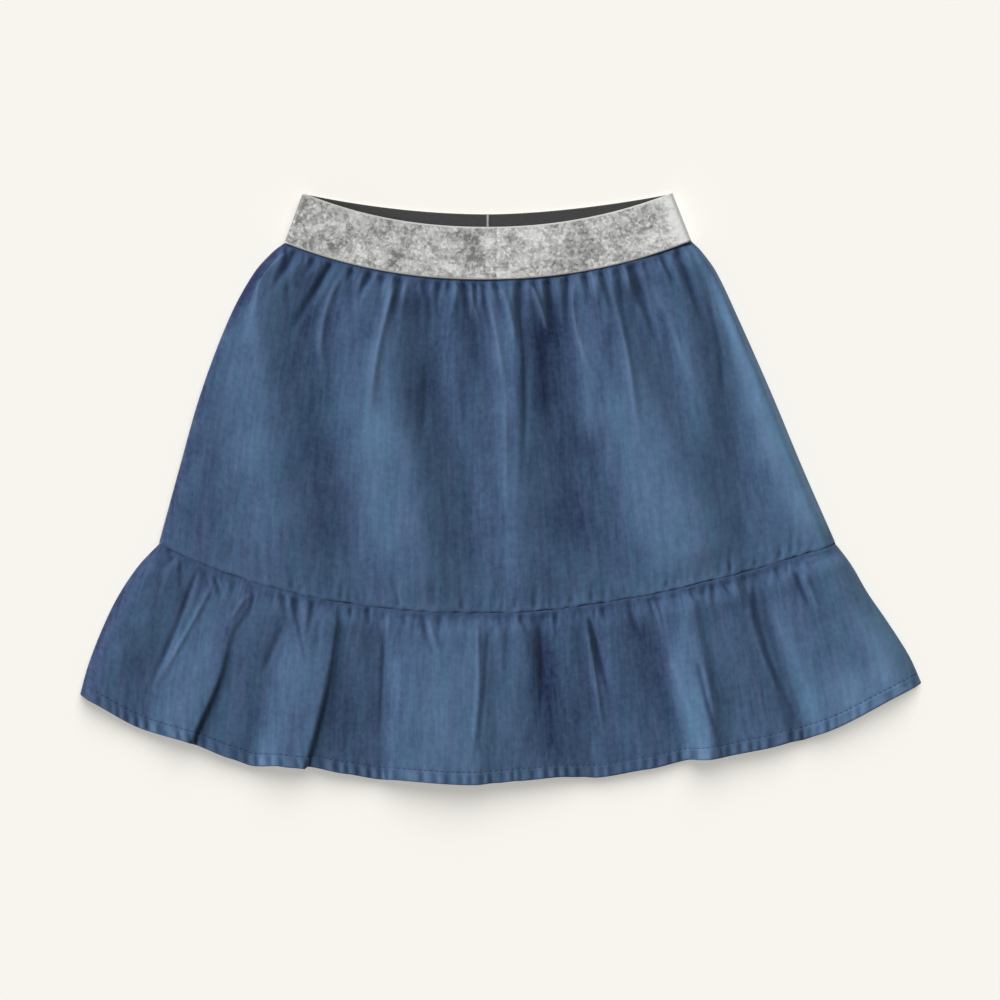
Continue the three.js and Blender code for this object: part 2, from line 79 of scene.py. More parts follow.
# Outlines down the length of each piece: level, left and right side folds, height of the side
# fold's middle, and height of the upper cloth's middle in the troughs of its folds.
BAND_OUTLINE = [
    (0, -119, 103.5, 4.4, 9.5),
    (1, -130, 115, 4.4, 9.5),
]
PANEL_OUTLINE = [
    (0, -130, 115, 4.0, 8.5),
    (0.03, -137.2, 120.6, 3.95, 8.5),
    (0.1, -148.5, 129.8, 3.84, 8.5),
    (0.25, -163.3, 142.8, 3.6, 8.5),
    (0.5, -180.5, 163, 3.2, 8.4),
    (0.75, -193.4, 182, 2.8, 8.3),
    (1, -205.8, 202, 2.4, 8.2),
]
RUFFLE_OUTLINE = [
    (0, -205.8, 202, 2.4, 8.2),
    (0.15, -218.4, 211.3, 2.49, 8.2),
    (0.35, -230.4, 221, 2.61, 8.0),
    (0.55, -239.2, 232.5, 2.73, 7.6),
    (0.8, -248, 245.8, 2.88, 7.1),
    (1, -253, 253.4, 3.0, 6.8),
]

# Folds of the upper cloth from left to right: where the line runs and how high it stands at the
# five levels, how far it leans over, and how far the hem hangs down there.
PANEL_LEVELS = (0, 0.12, 0.36, 0.64, 1)
PANEL_FOLDS = [
    ((-127, -145, -163, -169, -163), (0.3, 0.4, 0.4, 0.4, 0.8), 0, 0),
    ((-124, -144, -142, -134, -131), (1.0, 3.8, 6.0, 5.6, 4.4), 0, 0),
    ((-95, -106, -107, -94, -84), (0.4, 0.0, 0.0, 0.2, 0.6), 0, 0),
    ((-60, -68, -64, -52, -44), (2.2, 5.4, 8.2, 7.6, 5.4), 0.1, 0),
    ((-38, -37, -34, -18, -14), (0.6, 0.4, 0.2, 0.4, 0.6), 0, 0),
    ((-31, -28, -24, -8, -4), (1.6, 2.4, 2.2, 1.8, 1.6), 0, 0),
    ((-17, -12.5, -6.5, -1.5, 5), (0.4, 0.4, 1.8, 2.6, 2.0), 0, 0),
    ((3, 9.3, 9, 10, 12), (2.6, 6.0, 7.0, 6.6, 4.6), 0.4, 0),
    ((12, 18, 19, 26, 32), (1.8, 3.8, 4.6, 4.6, 3.4), 0, 0),
    ((34, 39, 42, 62, 76), (0.3, 0.0, 0.0, 0.2, 0.6), 0, 0),
    ((56, 60, 81, 106, 122), (2.2, 5.6, 9.4, 9.0, 6.0), 0.1, 0),
    ((80, 88, 102, 120, 133), (0.8, 1.2, 4.6, 7.0, 5.0), 0, 0),
    ((94, 103.5, 117, 127, 142), (2.0, 5.4, 6.2, 5.0, 3.4), 0, 0),
    ((108, 123, 139, 144, 154), (0.6, 0.6, 1.0, 1.4, 1.6), 0, 0),
    ((113, 129, 147, 168, 195), (0.6, 2.2, 3.4, 4.6, 4.4), 0, 0),
]
RUFFLE_LEVELS = (0, 0.12, 0.3, 0.6, 1)
RUFFLE_FOLDS = [
    ((-200, -208, -218, -233, -245), (0.6, 2.0, 2.8, 3.2, 3.2), 0, 0.4),
    ((-180, -182, -188, -204, -218), (0.2, 0.0, 0.0, 0.3, 0.8), 0, 2.8),
    ((-150, -152.5, -162.5, -170.5, -187), (1.0, 1.8, 2.8, 5.0, 6.4), 0.4, 0.3),
    ((-145, -148, -158.5, -167, -183.5), (0.6, 1.0, 1.7, 2.0, 2.2), 0, 0.4),
    ((-134, -136, -144, -154, -162), (1.0, 1.8, 2.4, 2.2, 2.2), 0, 2.5),
    ((-126, -127, -132, -143, -150), (0.4, 0.8, 1.2, 1.2, 1.4), 0, 3.7),
    ((-114, -115, -117, -120, -131), (1.6, 3.4, 4.8, 7.0, 8.2), 0, 0),
    ((-99, -100, -102, -108, -118), (2.0, 3.8, 4.8, 7.4, 8.2), 0.5, -0.9),
    ((-95.5, -96.5, -98.5, -104.5, -114.5), (0.8, 1.6, 2.2, 2.8, 3.4), 0, -2.5),
    ((-86, -84, -83.5, -87, -93), (0.6, 1.2, 1.0, 1.4, 1.8), 0, -0.9),
    ((-76, -73, -69.5, -69.5, -72), (0.2, 0.0, 0.0, 0.0, 0.5), 0, 0.7),
    ((-68, -63, -59, -60, -63), (1.0, 3.2, 4.6, 5.2, 5.0), -0.2, 0.3),
    ((-20, -15, -13.5, -14, -16), (1.8, 6.0, 8.8, 9.8, 9.8), 0.3, 1.9),
    ((-7, -3, -1, -1, -2), (0.6, 4.2, 6.2, 7.2, 7.4), 0, 0.9),
    ((8, 13, 16, 14, 10), (0.9, 3.8, 5.6, 6.2, 6.6), 0, 0),
    ((19, 24.5, 27, 32, 36), (0.2, 0.4, 1.0, 2.6, 3.6), 0, -1.4),
    ((34, 40, 42, 44, 48), (1.2, 1.8, 1.8, 1.4, 1.4), 0.1, -0.7),
    ((51, 53, 56, 55, 58), (0.2, 0.2, 0.4, 0.4, 0.4), 0, 0.4),
    ((62, 66, 71, 79, 88), (1.2, 2.0, 2.2, 1.4, 1.0), 0, -1.6),
    ((84, 90, 94, 102, 113), (0.4, 0.4, 0.2, 0.0, 0.0), 0, -3.6),
    ((111, 113, 117, 123, 127.5), (1.8, 5.4, 7.8, 9.8, 10.2), 0.4, -1.7),
    ((119, 121, 125, 130.5, 135), (0.8, 3.4, 5.0, 6.2, 6.8), 0, -1.4),
    ((142, 145, 150, 161, 172), (0.6, 2.0, 2.8, 3.2, 4.0), 0, 0.6),
    ((152, 156, 161, 172, 184), (0.2, 0.0, 0.0, 0.0, 0.5), 0, 2.1),
    ((160, 165, 171, 183, 196), (0.8, 2.6, 3.6, 4.0, 4.2), -0.2, 2.2),
    ((178, 192, 205, 222, 238), (1.6, 4.0, 5.6, 6.4, 6.2), 0, -0.6),
]

# Gathers, which are short creases that run down from a seam: place on the seam, drift across over
# the reach, reach, depth and half width.
WAIST_GATHERS = [
    (-122, -18, 28, 1.9, 2.3),
    (-110, -9, 14, 1.3, 1.6),
    (-100, -31, 50, 1.5, 2.0),
    (-88, -5, 12, 1.1, 1.5),
    (-77, -10, 21, 1.9, 1.7),
    (-69, -3, 11, 1.1, 1.5),
    (-59.5, -6, 30, 2.3, 1.9),
    (-45, 0, 14, 1.6, 1.6),
    (-36, -3, 21, 1.6, 1.6),
    (-30, -1, 11, 1.1, 1.5),
    (-22.5, 5, 23, 2.0, 1.8),
    (-16, 4, 12, 1.3, 1.5),
    (-11, 11, 48, 1.7, 1.6),
    (-3, 9, 32, 1.9, 1.6),
    (12, 1, 42, 1.8, 2.2),
    (20, 3, 12, 1.3, 1.5),
    (28, 10, 50, 1.7, 2.0),
    (40, 1, 26, 1.8, 1.8),
    (50.5, 6, 21, 1.9, 1.7),
    (60, 13, 36, 2.1, 1.9),
    (70, 4, 12, 1.2, 1.5),
    (77.5, 21, 56, 2.4, 2.0),
    (86, 5, 14, 1.3, 1.6),
    (96, 12, 24, 1.7, 1.7),
    (106, 24, 62, 2.1, 2.0),
]
RUFFLE_GATHERS = [
    (-194, -10, 12, 1.2, 1.8),
    (-177, 4, 16, 1.4, 1.8),
    (-158, -2, 12, 1.3, 1.6),
    (-131, 2, 14, 1.1, 1.6),
    (-122, 4, 26, 1.4, 1.8),
    (-112, -3, 22, 1.3, 1.6),
    (-89, -1, 10, 1.2, 1.6),
    (-79, 1, 13, 1.3, 1.6),
    (-57, 0, 12, 1.1, 1.6),
    (-46, 2, 22, 1.4, 1.8),
    (-36, 2, 12, 1.0, 1.6),
    (-26, 0, 16, 1.1, 1.6),
    (0, 1, 12, 1.3, 1.6),
    (12, 5, 14, 1.2, 1.6),
    (34, 1, 14, 1.2, 1.6),
    (61, 4, 14, 1.2, 1.6),
    (77, 7, 22, 1.4, 1.8),
    (94, 5, 24, 1.3, 1.6),
    (104, 2, 12, 1.1, 1.6),
    (127, 3, 18, 1.4, 1.8),
    (136, 4, 14, 1.2, 1.6),
    (146, 4, 24, 1.3, 1.8),
    (165, 4, 12, 1.2, 1.6),
    (183, 8, 14, 1.2, 1.6),
    (195, 8, 14, 1.2, 1.6),
]

# Rows of small uneven puckers along a seam: from and to across, spacing, depth, reach and random seed
WAIST_PUCKERS = [
    (-128, 112, 5.5, 0.7, 12, 11),
    (-128, 112, 9, 0.9, 34, 13),
]
SEAM_PUCKERS = [
    (-200, 198, 10, 0.35, 36, 12),
    (-200, 198, 6, 0.9, 13, 14),
]
RUFFLE_PUCKERS = [
    (-203, 200, 5.5, 0.8, 12, 31),
    (-203, 200, 11, 0.7, 34, 32),
]
SHARED_PUCKERS = (-203, 200, 5, 0.7, 8, 33)

# Separate creases: place across at the start, the middle and the end, height up the skirt of the start and
# the end, depth, and half width. A negative depth is a raised ridge. Deep ones are painted darker as shade.
PANEL_CREASES = [
    (-93, -106.5, -104, 132, 66, -1.2, 2.0),
    (-62, -73.5, -77.5, 126, 36, -1.6, 1.7),
    (-44, -45.3, -48.3, 78, 21, 0.9, 2.4),
    (-26, -28, -31, 124, 100, -1.0, 1.5),
    (-18.5, -15, -12.3, 120, 96, -0.9, 1.5),
    (-9.5, -1.3, 3.3, 123, 54, -1.7, 1.8),
    (3.3, 3.7, 3.3, 62, -24, -0.9, 1.8),
    (-0.5, 6.5, 8.3, 123, 82, -1.5, 1.7),
    (12, 15, 13, 110, 6, 1.1, 2.2),
    (18.5, 25, 30, 124, 87, -1.4, 1.9),
    (43, 46.5, 57, 124, 66, -1.2, 1.9),
    (63.5, 77, 84, 129, 18, -1.5, 1.5),
    (90, 104, 118, 128, 60, -1.0, 2.4),
    (123, 132, 134, 118, 46, 1.0, 2.2),
    (-136, -141, -146, 130, 70, -0.5, 5),
    (-101, -98.5, -96, 112, 28, 0.8, 5),
    (-78, -79, -80, 96, 0, -0.6, 5),
    (-26, -20, -14, 87, -2, 0.8, 5),
    (26, 29, 32, 104, 8, 1.0, 4),
    (50, 54, 58, 94, 20, -0.7, 4),
    (66, 68, 70, 102, 44, 0.6, 2.4),
    (98, 102, 106, 110, 56, 1.0, 2.6),
    (112, 115, 118, 96, 34, -0.6, 3),
    (150, 161, 172, 80, -10, -0.6, 6),
]
RUFFLE_CREASES = [
    (-181, -196, -214, -46, -127, 1.3, 1.5),
    (-171, -189, -209, -53, -121, -1.0, 1.6),
    (-172, -169, -166, -51, -67, 1.2, 1.4),
    (-150, -158, -161, -62, -82, -0.8, 1.5),
    (-130, -137, -145, -80, -115, 0.7, 2.0),
    (-124.5, -120, -115, -64, -108, 1.0, 1.4),
    (-68.7, -71, -73, -78, -164, 0.8, 1.3),
    (-78.5, -79, -80, -67, -75, 1.6, 1.6),
    (-47, -43, -37.5, -74, -104, 1.0, 1.4),
    (-43.5, -39.5, -34.5, -76, -102, -0.8, 1.4),
    (-6.5, -9.7, -15, -75, -168, 0.7, 1.3),
    (-14.3, -13.4, -18, -77, -166, -0.9, 1.3),
    (23, 24.6, 23.7, -74, -142, 1.1, 1.5),
    (53.1, 58.8, 67, -73, -124, 2.2, 1.8),
    (51, 57.5, 62.7, -78, -156, -1.1, 1.5),
    (75.3, 82, 87.7, -70, -95, 0.8, 2.2),
    (89, 91.5, 94, -64, -80, 1.6, 1.2),
    (92.2, 95, 97.5, -68, -84, -1.1, 1.2),
    (113.7, 115.2, 117, -58, -67, 1.5, 1.6),
    (117.7, 124, 132, -100, -154, 1.7, 1.6),
    (101.5, 112.5, 124, -99, -154, -0.9, 1.6),
    (131.5, 135, 138, -54, -63, 1.4, 1.6),
    (151.5, 160.5, 181.5, -53, -144, 1.4, 1.4),
    (148, 157, 178, -60, -140, -0.6, 1.6),
    (176.5, 182, 187.5, -48, -75, 2.3, 1.8),
    (181, 187, 192.5, -50, -77, -0.9, 1.7),
]

# Strips where the denim is lighter, or darker where the strength is negative, partly from washing and partly
# as painted
# light and shade: place across and distance down from the piece's upper seam, of the start and of the end,
# strength, half width.
PANEL_WASH_AND_SHADE = [
    (26, 6, 29, 92, -0.35, 14),
    (30, 70, 46, 172, -0.26, 17),
    (3, 10, 8, 200, -0.13, 9),
    (52, 4, 72, 76, -0.14, 7),
    (-84, 14, -78, 100, -0.13, 9),
    (-112, 4, -122, 44, -0.12, 6),
    (-128, 10, -138, 50, 0.12, 8),
    (86, 110, 152, 240, 0.28, 26),
    (176, 140, 192, 190, 0.25, 12),
    (120, 178, 186, 188, 0.25, 9),
    (80, 198, 110, 202, 0.15, 8),
    (-60, 204, -18, 210, 0.18, 6),
    (100, 120, 112, 160, -0.12, 9),
    (66, 24, 76, 84, -0.18, 5),
    (-152, 10, -150, 50, -0.15, 7),
    (-96, 60, -98, 120, 0.06, 6),
    (-152, 90, -160, 170, 0.08, 12),
    (128, 8, 146, 72, 0.35, 7),
    (146, 50, 174, 134, 0.45, 12),
    (166, 100, 196, 178, 0.45, 14),
    (-112, 86, -104, 168, -0.18, 12),
    (-42, 20, -42, 112, -0.1, 9),
    (-40, 90, -28, 200, 0.05, 11),
    (-20, 12, -12, 60, -0.25, 7),
    (-78, 56, -74, 172, 0.28, 12),
    (62, 56, 94, 160, 0.2, 12),
    (-160, 30, -162, 134, 0.2, 11),
]
RUFFLE_WASH_AND_SHADE = [
    (25, 4, 33, 100, -0.4, 12),
    (56, 6, 62, 70, -0.2, 10),
    (84, 6, 98, 64, -0.3, 9),
    (150, 4, 166, 70, -0.1, 9),
    (159, 14, 203, 110, 0.36, 10),
    (208, 60, 222, 112, 0.48, 18),
    (226, 44, 244, 112, 0.26, 9),
    (184, 4, 212, 54, -0.2, 9),
    (198, 50, 214, 106, 0.2, 9),
    (216, 30, 248, 106, 0.32, 8),
    (36, 2, 42, 14, -0.2, 5),
    (62, 0, 70, 10, -0.25, 6),
    (-64, 30, -62, 110, -0.14, 6),
    (-179, 12, -187, 70, 0.13, 7),
    (-130, 6, -132, 56, 0.12, 6),
    (-104, 50, -118, 140, 0.16, 7),
    (-192, 14, -200, 100, 0.25, 11),
    (-94, 24, -98, 100, -0.15, 8),
    (-40, 14, -38, 96, 0.15, 14),
    (100, 18, 126, 116, 0.27, 7),
]

# Painted glints and painted shade on the glitter, as lighter and darker strips in the same columns
BAND_GLINTS_AND_SHADE = [
    (-63, 1, -48, 16, -0.08, 9),
    (56, 11, 60, 31, -0.14, 12),
    (-16, -2, -9, 26, -0.2, 9),
    (-36, 0, -36, 31, 0.1, 7),
    (13, -2, 13, 33, 0.12, 14),
    (20, -3, 21, 10, 0.45, 6),
    (-7, 5, -7, 15, 0.35, 2),
    (-20, 2, -14, 18, -0.2, 5),
]

# Pressed gathers and folds of the cloth that lies on the surface
UNDER_PANEL = dict(
    gathers=dict(count=22, depth=1.6, width=3.0, shortest=14, longest=46, drift=0.5),
    folds=dict(count=6, depth=1.5, width=9, shortest=120, longest=200, drift=0.55),
)
UNDER_RUFFLE = dict(
    gathers=dict(count=26, depth=1.4, width=2.8, shortest=8, longest=22, drift=0.2),
    folds=dict(count=13, depth=2.0, width=8.5, shortest=105, longest=140, drift=0.24),
)
UNEVEN_PLACE = 0.3
UNEVEN_DEPTH = 0.2
PRESSED_SHARE = 0.15

# The cloth as cut: width and length in metres
PANEL_CUT = (0.43, 0.21)
RUFFLE_CUT = (0.62, 0.105)
BAND_CUT = (0.49, 0.031)

# Form at the seams, in millimetres, with the strength of the gathers
SEAM_RISE = 1.2
SEAM_REACH = 20
SEAM_SETTLE = 5
SEAM_NEAR = 2.2
SEAM_HOLD = 0.6
SEAM_PAST = 0.6
PANEL_ROLL = (1.4, 0.8)
RUFFLE_ROLL = (0.12, 0.5)
PUFF_RISE = 1.4
PUFF_DOWN = 9
PUFF_REACH = 7
TUCK = 4
TUCK_DEPTH = 0.5
TUCK_DROP = 1.6
TUCK_NARROWING = 0.035
WAIST_RISE = 0.5
GATHER_START = 4
WAIST_STRENGTH = 1.4
RUFFLE_STRENGTH = 1.15
SHARED_STRENGTH = 0.4
RUFFLE_CRUMPLE = 1.4
DEEPEST = 3.4
# Depths at which the painted shade in creases, and the rubbing and painted light on raised creases, are full
FULL_CREASE_SHADE = 2.4
FULL_WEAR_AND_LIGHT = 3

# Form of the side folds: how squarely each cloth turns, and how close its columns stand there
SIDE_SLOPE = 60
UPPER_CURVE = 40
LOWER_CURVE = 40
BAND_UPPER_CURVE = 220
BAND_LOWER_CURVE = 16
SIDE_CROWDING = 1.8
UNDER_CROWDING = 1.25
SIDE_ROOM = 10

# Hem, stitches and the elastic's seams, in millimetres
ROPE_PITCH = 6.9
ROPE_HEIGHT = 0.45
ROPE_ABOVE_HEM = 5
HEM_STEP = 0.9
HEM_STEP_HEIGHT = 0.35
HEM_ROUND = 0.45
HEM_STITCH = 2.5
HEM_STITCH_GAP = 0.8
STITCH_DOWN = 0.3
STITCH_HALF = 0.55
STITCH_GROOVE = 0.4
THREAD_RADIUS = 0.22
BACK_SEAM_X = -7.5
FRONT_JOIN_X = -2.1
FRONT_JOIN_DEPTH = 0.22
ZIGZAG_STEP = 0.9
ZIGZAG_HALF = 0.8

# The waistband: columns round it, levels down it and its selvedges, as shares of its width
BAND_WIDTH = 30
BAND_COLUMNS = 960
BAND_LEVELS = (
    0, 0.006, 0.02, 0.04, 0.07, 0.1, 0.15, 0.22, 0.3, 0.4, 0.5, 0.6, 0.7, 0.78, 0.85, 0.9, 0.93, 0.96, 0.98,
    0.994, 1,
)
SELVEDGE_AT = 0.022
SELVEDGE_HALF = 0.02
SELVEDGE_HEIGHT = 0.12

# Tones of the cloth, with its painted light and shade by fold height, at the side folds and band ends, and
# along the seam
STRAIGHT_GRAIN = 0.5
TONE_LOW = -0.2
TONE_HIGH = 1.6
PANEL_HIGHEST = 8
RUFFLE_HIGHEST = 9
EDGE_SHADE = 0.4
EDGE_SHADE_WIDTH = 0.028
EDGE_LIGHT = 0.55
EDGE_LIGHT_WIDTH = 0.075
BAND_END_SHADE = 1.3
SEAM_SHADE = 0.8

# Noise of the denim's weave: scale across and along the cloth, detail and strength
WEAVE = [
    ((1050, 150), 2.0, 0.35),
    ((280, 42), 3.0, 1.25),
    ((270, 330), 3.0, 1.0),
]
HUE_STRENGTH = 2.2
HUE_WARM = (1.10, 0.965, 1.02)
HUE_COOL = (0.84, 1.035, 0.99)
FADE_SCALE = (62, 40)
HUE_SCALE = (100, 20)
TWILL_SCALE = 760.0

# Noise and cells of the elastic
FACET_SCALE = 640.0
CLUMP_SCALE = 270.0
PATCH_SCALE = (42, 70)
RIB_SCALE = (130, 620)
INSIDE_SCALE = (200, 1800)

# The floor, the lights and the camera, in metres and degrees. Each light has a direction round the
# skirt, a height, a softness and a power, and lights either the floor alone or all the rest.
FLOOR_HALF = 6.0
FLOOR_DROP = 0.0002
FLOOR_GLOW = 0.38
FLOOR_SHARE = 0.9
LIGHTS = [
    ("key", 110, 42, 22, 2.0, "all_but_floor"),
    ("side", 166, 24, 32, 3.1, "all_but_floor"),
    ("floor_light", 78, 47, 56, 2.28, "floor_alone"),
]
WORLD_COLOUR = (1, 0.995, 0.98)
WORLD_STRENGTH = 0.16
SENSOR_WIDTH = 36
LENS = 135
CAMERA_PLACE = (-0.0003, -0.0070, 0.009)


def ease(t):
    t = np.clip(t, 0, 1)
    return t * t * (3 - 2 * t)


def mix(a, b, t):
    return a + (b - a) * t


def bell(distance, width, power=2):
    """1 at no distance, falling evenly to either side over about the width."""
    return np.exp(-((np.abs(distance) / width) ** power))


def nearness(distance):
    """1 at a seam and past it, falling to 0 a few millimetres before it."""
    return bell(np.maximum(distance, 0), SEAM_NEAR, 1.5)


def cubic(t, span, start, end, start_slope, end_slope):
    """A value between two others that leaves and reaches them with the given slopes."""
    rest = 1 - t
    return (
        rest * rest * (1 + 2 * t) * start
        + t * rest * rest * start_slope * span
        + t * t * (3 - 2 * t) * end
        - t * t * rest * end_slope * span
    )


def through(levels, values, at):
    """A smooth curve through the values at the levels."""
    levels = np.asarray(levels, float)
    values = np.asarray(values, float)
    last = len(levels) - 1
    index = np.arange(last + 1)
    after = np.minimum(index + 1, last)
    before = np.maximum(index - 1, 0)
    slopes = (values[after] - values[before]) / (levels[after] - levels[before])
    i = np.clip(np.searchsorted(levels, at, side="left") - 1, 0, last - 1)
    span = levels[i + 1] - levels[i]
    t = np.clip((at - levels[i]) / span, 0, 1)
    return cubic(t, span, values[i], values[i + 1], slopes[i], slopes[i + 1])


def outline_at(outline, level, wall):
    """Left and right side folds, middle, half width, fold height and trough height at each level."""
    levels, lefts, rights, folds, troughs = zip(*outline)
    left = through(levels, lefts, level) + wall / 2
    right = through(levels, rights, level) - wall / 2
    fold = through(levels, folds, level)
    trough = through(levels, troughs, level)
    return left, right, (left + right) / 2, (right - left) / 2, fold, trough


def edge_y(edge, share):
    """Height up the skirt of an edge, at a share of the half width from the middle."""
    full = np.where(share < 0, edge["full_left"], edge["full_right"])
    straight = mix(edge["y_left"], edge["y_right"], (share + 1) / 2)
    return straight - edge["sag"] * (1 - np.abs(share) ** full)


def across(fold, level, share, curve):
    """Height between the side folds: level in the middle and upright at the fold itself."""
    return mix(fold, level, np.sqrt(np.maximum(1 - np.abs(share) ** curve, 0)))


def soft_noise(u, v, seed):
    """Smooth noise between -1 and 1 with one random value for each whole number of u and v."""
    random = np.random.default_rng(seed)
    low_u = math.floor(float(np.min(u)))
    low_v = math.floor(float(np.min(v)))
    size = (math.floor(float(np.max(u))) - low_u + 2, math.floor(float(np.max(v))) - low_v + 2)
    lattice = random.uniform(-1, 1, size)
    i = np.floor(u).astype(int) - low_u
    j = np.floor(v).astype(int) - low_v
    s = ease(u - np.floor(u))
    t = ease(v - np.floor(v))
    near = mix(lattice[i, j], lattice[i + 1, j], s)
    far = mix(lattice[i, j + 1], lattice[i + 1, j + 1], s)
    return mix(near, far, t)


def crease_profile(away):
    """A narrow trough with a low swelling on either side of it."""
    distance = np.abs(away)
    return np.exp(-(distance ** 1.5)) - 0.22 * np.exp(-((distance - 2.1) ** 2))


def gather_depth(gathers, x, down):
    """Depth of all the gathers together, at a place across and a distance down from the seam."""
    depth = np.zeros(np.broadcast(x, down).shape)
    for at, drift, reach, deep, width in gathers:
        along = down / reach
        away = (x - at - drift * along) / (width * (1.1 - 0.2 * np.clip(along, 0, 1)))
        depth += deep * (1 - ease(along)) * crease_profile(away)
    return depth * ease(down / GATHER_START)


def small_gathers(first, last, spacing, depth, reach, seed):
    """A row of small uneven puckers for a stretch of seam."""
    random = np.random.default_rng(seed)
    rows = []
    at = first
    while at < last:
        rows.append((
            at,
            random.uniform(-2, 2),
            reach * random.uniform(0.5, 1.5),
            depth * random.uniform(0.1, 1.25) ** 1.3,
            spacing * random.uniform(0.16, 0.28),
        ))
        at += spacing * random.uniform(0.65, 1.4)
    return rows


def crease_depth(creases, x, y):
    """Depth of separate creases, each bent through its middle place."""
    depth = np.zeros(x.shape)
    for x_start, x_middle, x_end, y_start, y_end, deep, width in creases:
        along = (y_start - y) / (y_start - y_end)
        bend = 4 * x_middle - 2 * (x_start + x_end)
        away = (x - mix(x_start, x_end, along) - bend * along * (1 - along)) / width
        taper = ease(along * 6) * ease((1 - along) * 2.5)
        depth += deep * taper * np.exp(-np.abs(away) ** 1.6)
    return depth


def strip_strength(rows, x, down):
    """How much lighter the listed strips make a surface, darker where the strength is negative: on the denim
    partly washing and partly painted light and shade, on the glitter painted glints and shade.
    """
    strength = np.zeros(x.shape)
    for x_from, down_from, x_to, down_to, most, width in rows:
        along = (down - down_from) / (down_to - down_from)
        away = (x - mix(x_from, x_to, along)) / width
        taper = ease(along * 4) * ease((1 - along) * 2.5)
        strength += most * taper * np.exp(-np.abs(away) ** 1.6)
    return strength


def edge_shade_and_light(share):
    """Painted shade at the left side fold, less painted light at the right one: how much darker and lighter
    the surface is painted there.
    """
    darker = EDGE_SHADE * bell(1 + share, EDGE_SHADE_WIDTH)
    return darker - EDGE_LIGHT * bell(1 - share, EDGE_LIGHT_WIDTH)


def pucker_depth(rows, x, down):
    """Depth of several rows of small puckers together."""
    return sum(gather_depth(small_gathers(*row), x, down) for row in rows)


def seam_puckers(x):
    """Depth of the puckers along the ruffle seam, which both of its cloths share."""
    rows = RUFFLE_GATHERS + small_gathers(*SHARED_PUCKERS)
    return SHARED_STRENGTH * gather_depth(rows, x, GATHER_START + 0 * x)


def seam_roll(distance, x, depth, width):
    """How far a cloth rolls down into its seam, unevenly along it, and further past it."""
    tight = depth * (0.75 + 0.6 * soft_noise(x / 5, 0 * x, 61))
    return tight * bell(np.maximum(distance, 0), width, 1.4) + 1.2 * ease(-distance / SEAM_PAST)


def seam_wander(x):
    """How far the ruffle seam strays from its even curve."""
    return 0.3 * soft_noise(x / 3.4, 0 * x, 62) + 0.2 * soft_noise(x / 9, 0 * x, 63)


def upright_near(smooth, near):
    """Normals turned upright where near is 1, so that two cloths meet at a seam."""
    upright = np.zeros(smooth.shape)
    upright[:, :, 2] = 1
    return mix(smooth, upright, near[:, :, None])


def fold_slopes(x, height):
    """Slopes that keep each ridge and trough a true turning point, for each row of lines."""
    steps = np.diff(x, axis=1)
    rates = np.diff(height, axis=1) / steps
    slopes = np.zeros_like(height)
    same = rates[:, :-1] * rates[:, 1:] > 0
    wide = 2 * steps[:, 1:] + steps[:, :-1]
    narrow = steps[:, 1:] + 2 * steps[:, :-1]
    safe_left = np.where(same, rates[:, :-1], 1)
    safe_right = np.where(same, rates[:, 1:], 1)
    mean = (wide + narrow) / (wide / safe_left + narrow / safe_right)
    slopes[:, 1:-1] = np.where(same, mean, 0)
    slopes[:, 0] = rates[:, 0]
    slopes[:, -1] = rates[:, -1]
    return slopes


def folded_cloth(piece, columns, down):
    """The middle of the upper cloth, as plain x, share of the half width, points and rise.

    columns counts fold lines from the left side fold to the right one, and down is in millimetres
    from the upper seam.
    """
    length = piece["length"]
    level = np.clip(down / length, 0, 1)
    left, right, middle, half, fold, trough = outline_at(piece["outline"], level, piece["wall"])
    lines = piece["folds"]
    flat = 0 * left
    x = np.stack([left] + [through(piece["levels"], row[0], level) for row in lines] + [right], axis=1)
    rise = np.stack([flat] + [through(piece["levels"], row[1], level) for row in lines] + [flat], axis=1)
    at_seam = length - down if piece["lower_hold"] else down
    loose = 1 - bell(at_seam, SEAM_SETTLE)
    lean = loose[:, None] * np.array([0] + [row[2] for row in lines] + [0], float)
    hang = np.array([0] + [row[3] for row in lines] + [0], float)
    x = x - lean * rise
    count = len(lines) + 1
    first = np.minimum(np.floor(columns).astype(int), count - 1)
    part = columns - first
    part = np.where(first == 0, part ** SIDE_CROWDING, part)
    part = np.where(first == count - 1, 1 - (1 - part) ** SIDE_CROWDING, part)
    slopes = fold_slopes(x, rise)
    span = x[:, first + 1] - x[:, first]
    ends = (rise[:, first], rise[:, first + 1], slopes[:, first], slopes[:, first + 1])
    height = cubic(part, span, *ends)
    plain_x = x[:, first] + span * part
    tip = mix(lean[:, first], lean[:, first + 1], ease(part))
    hangs = mix(hang[first], hang[first + 1], ease(part))
    hold = piece["lower_hold"] * ease(1 - (length - down) / SEAM_REACH)
    puff = PUFF_RISE * bell(down - PUFF_DOWN, PUFF_REACH)
    height = mix(height, SEAM_RISE, hold[:, None]) + puff[:, None]
    settle = bell(down, SEAM_SETTLE)
    height = mix(height, np.interp(plain_x, *piece["seam_height"]), settle[:, None])
    side = np.minimum(1, (1 - np.abs((plain_x - middle[:, None]) / half[:, None])) * SIDE_SLOPE)
    height = np.maximum(height * np.clip(side, 0, 1), 0)
    final_x = plain_x + tip * height
    share = np.clip((final_x - middle[:, None]) / half[:, None], -1, 1)
    y = mix(edge_y(piece["upper"], share), edge_y(piece["lower"], share), level[:, None])
    y = y - hangs * level[:, None] ** 2
    z = across(fold[:, None], trough[:, None], share, UPPER_CURVE) + height
    points = np.stack([final_x, y, z], axis=2)
    return plain_x, share, points, np.clip(side, 0, 1), height


def normals_of(points):
    """Unit normals of a grid of points."""
    down = np.gradient(points, axis=0)
    sideways = np.gradient(points, axis=1)
    normal = np.cross(down, sideways)
    return normal / np.maximum(np.linalg.norm(normal, axis=2, keepdims=True), 1e-12)


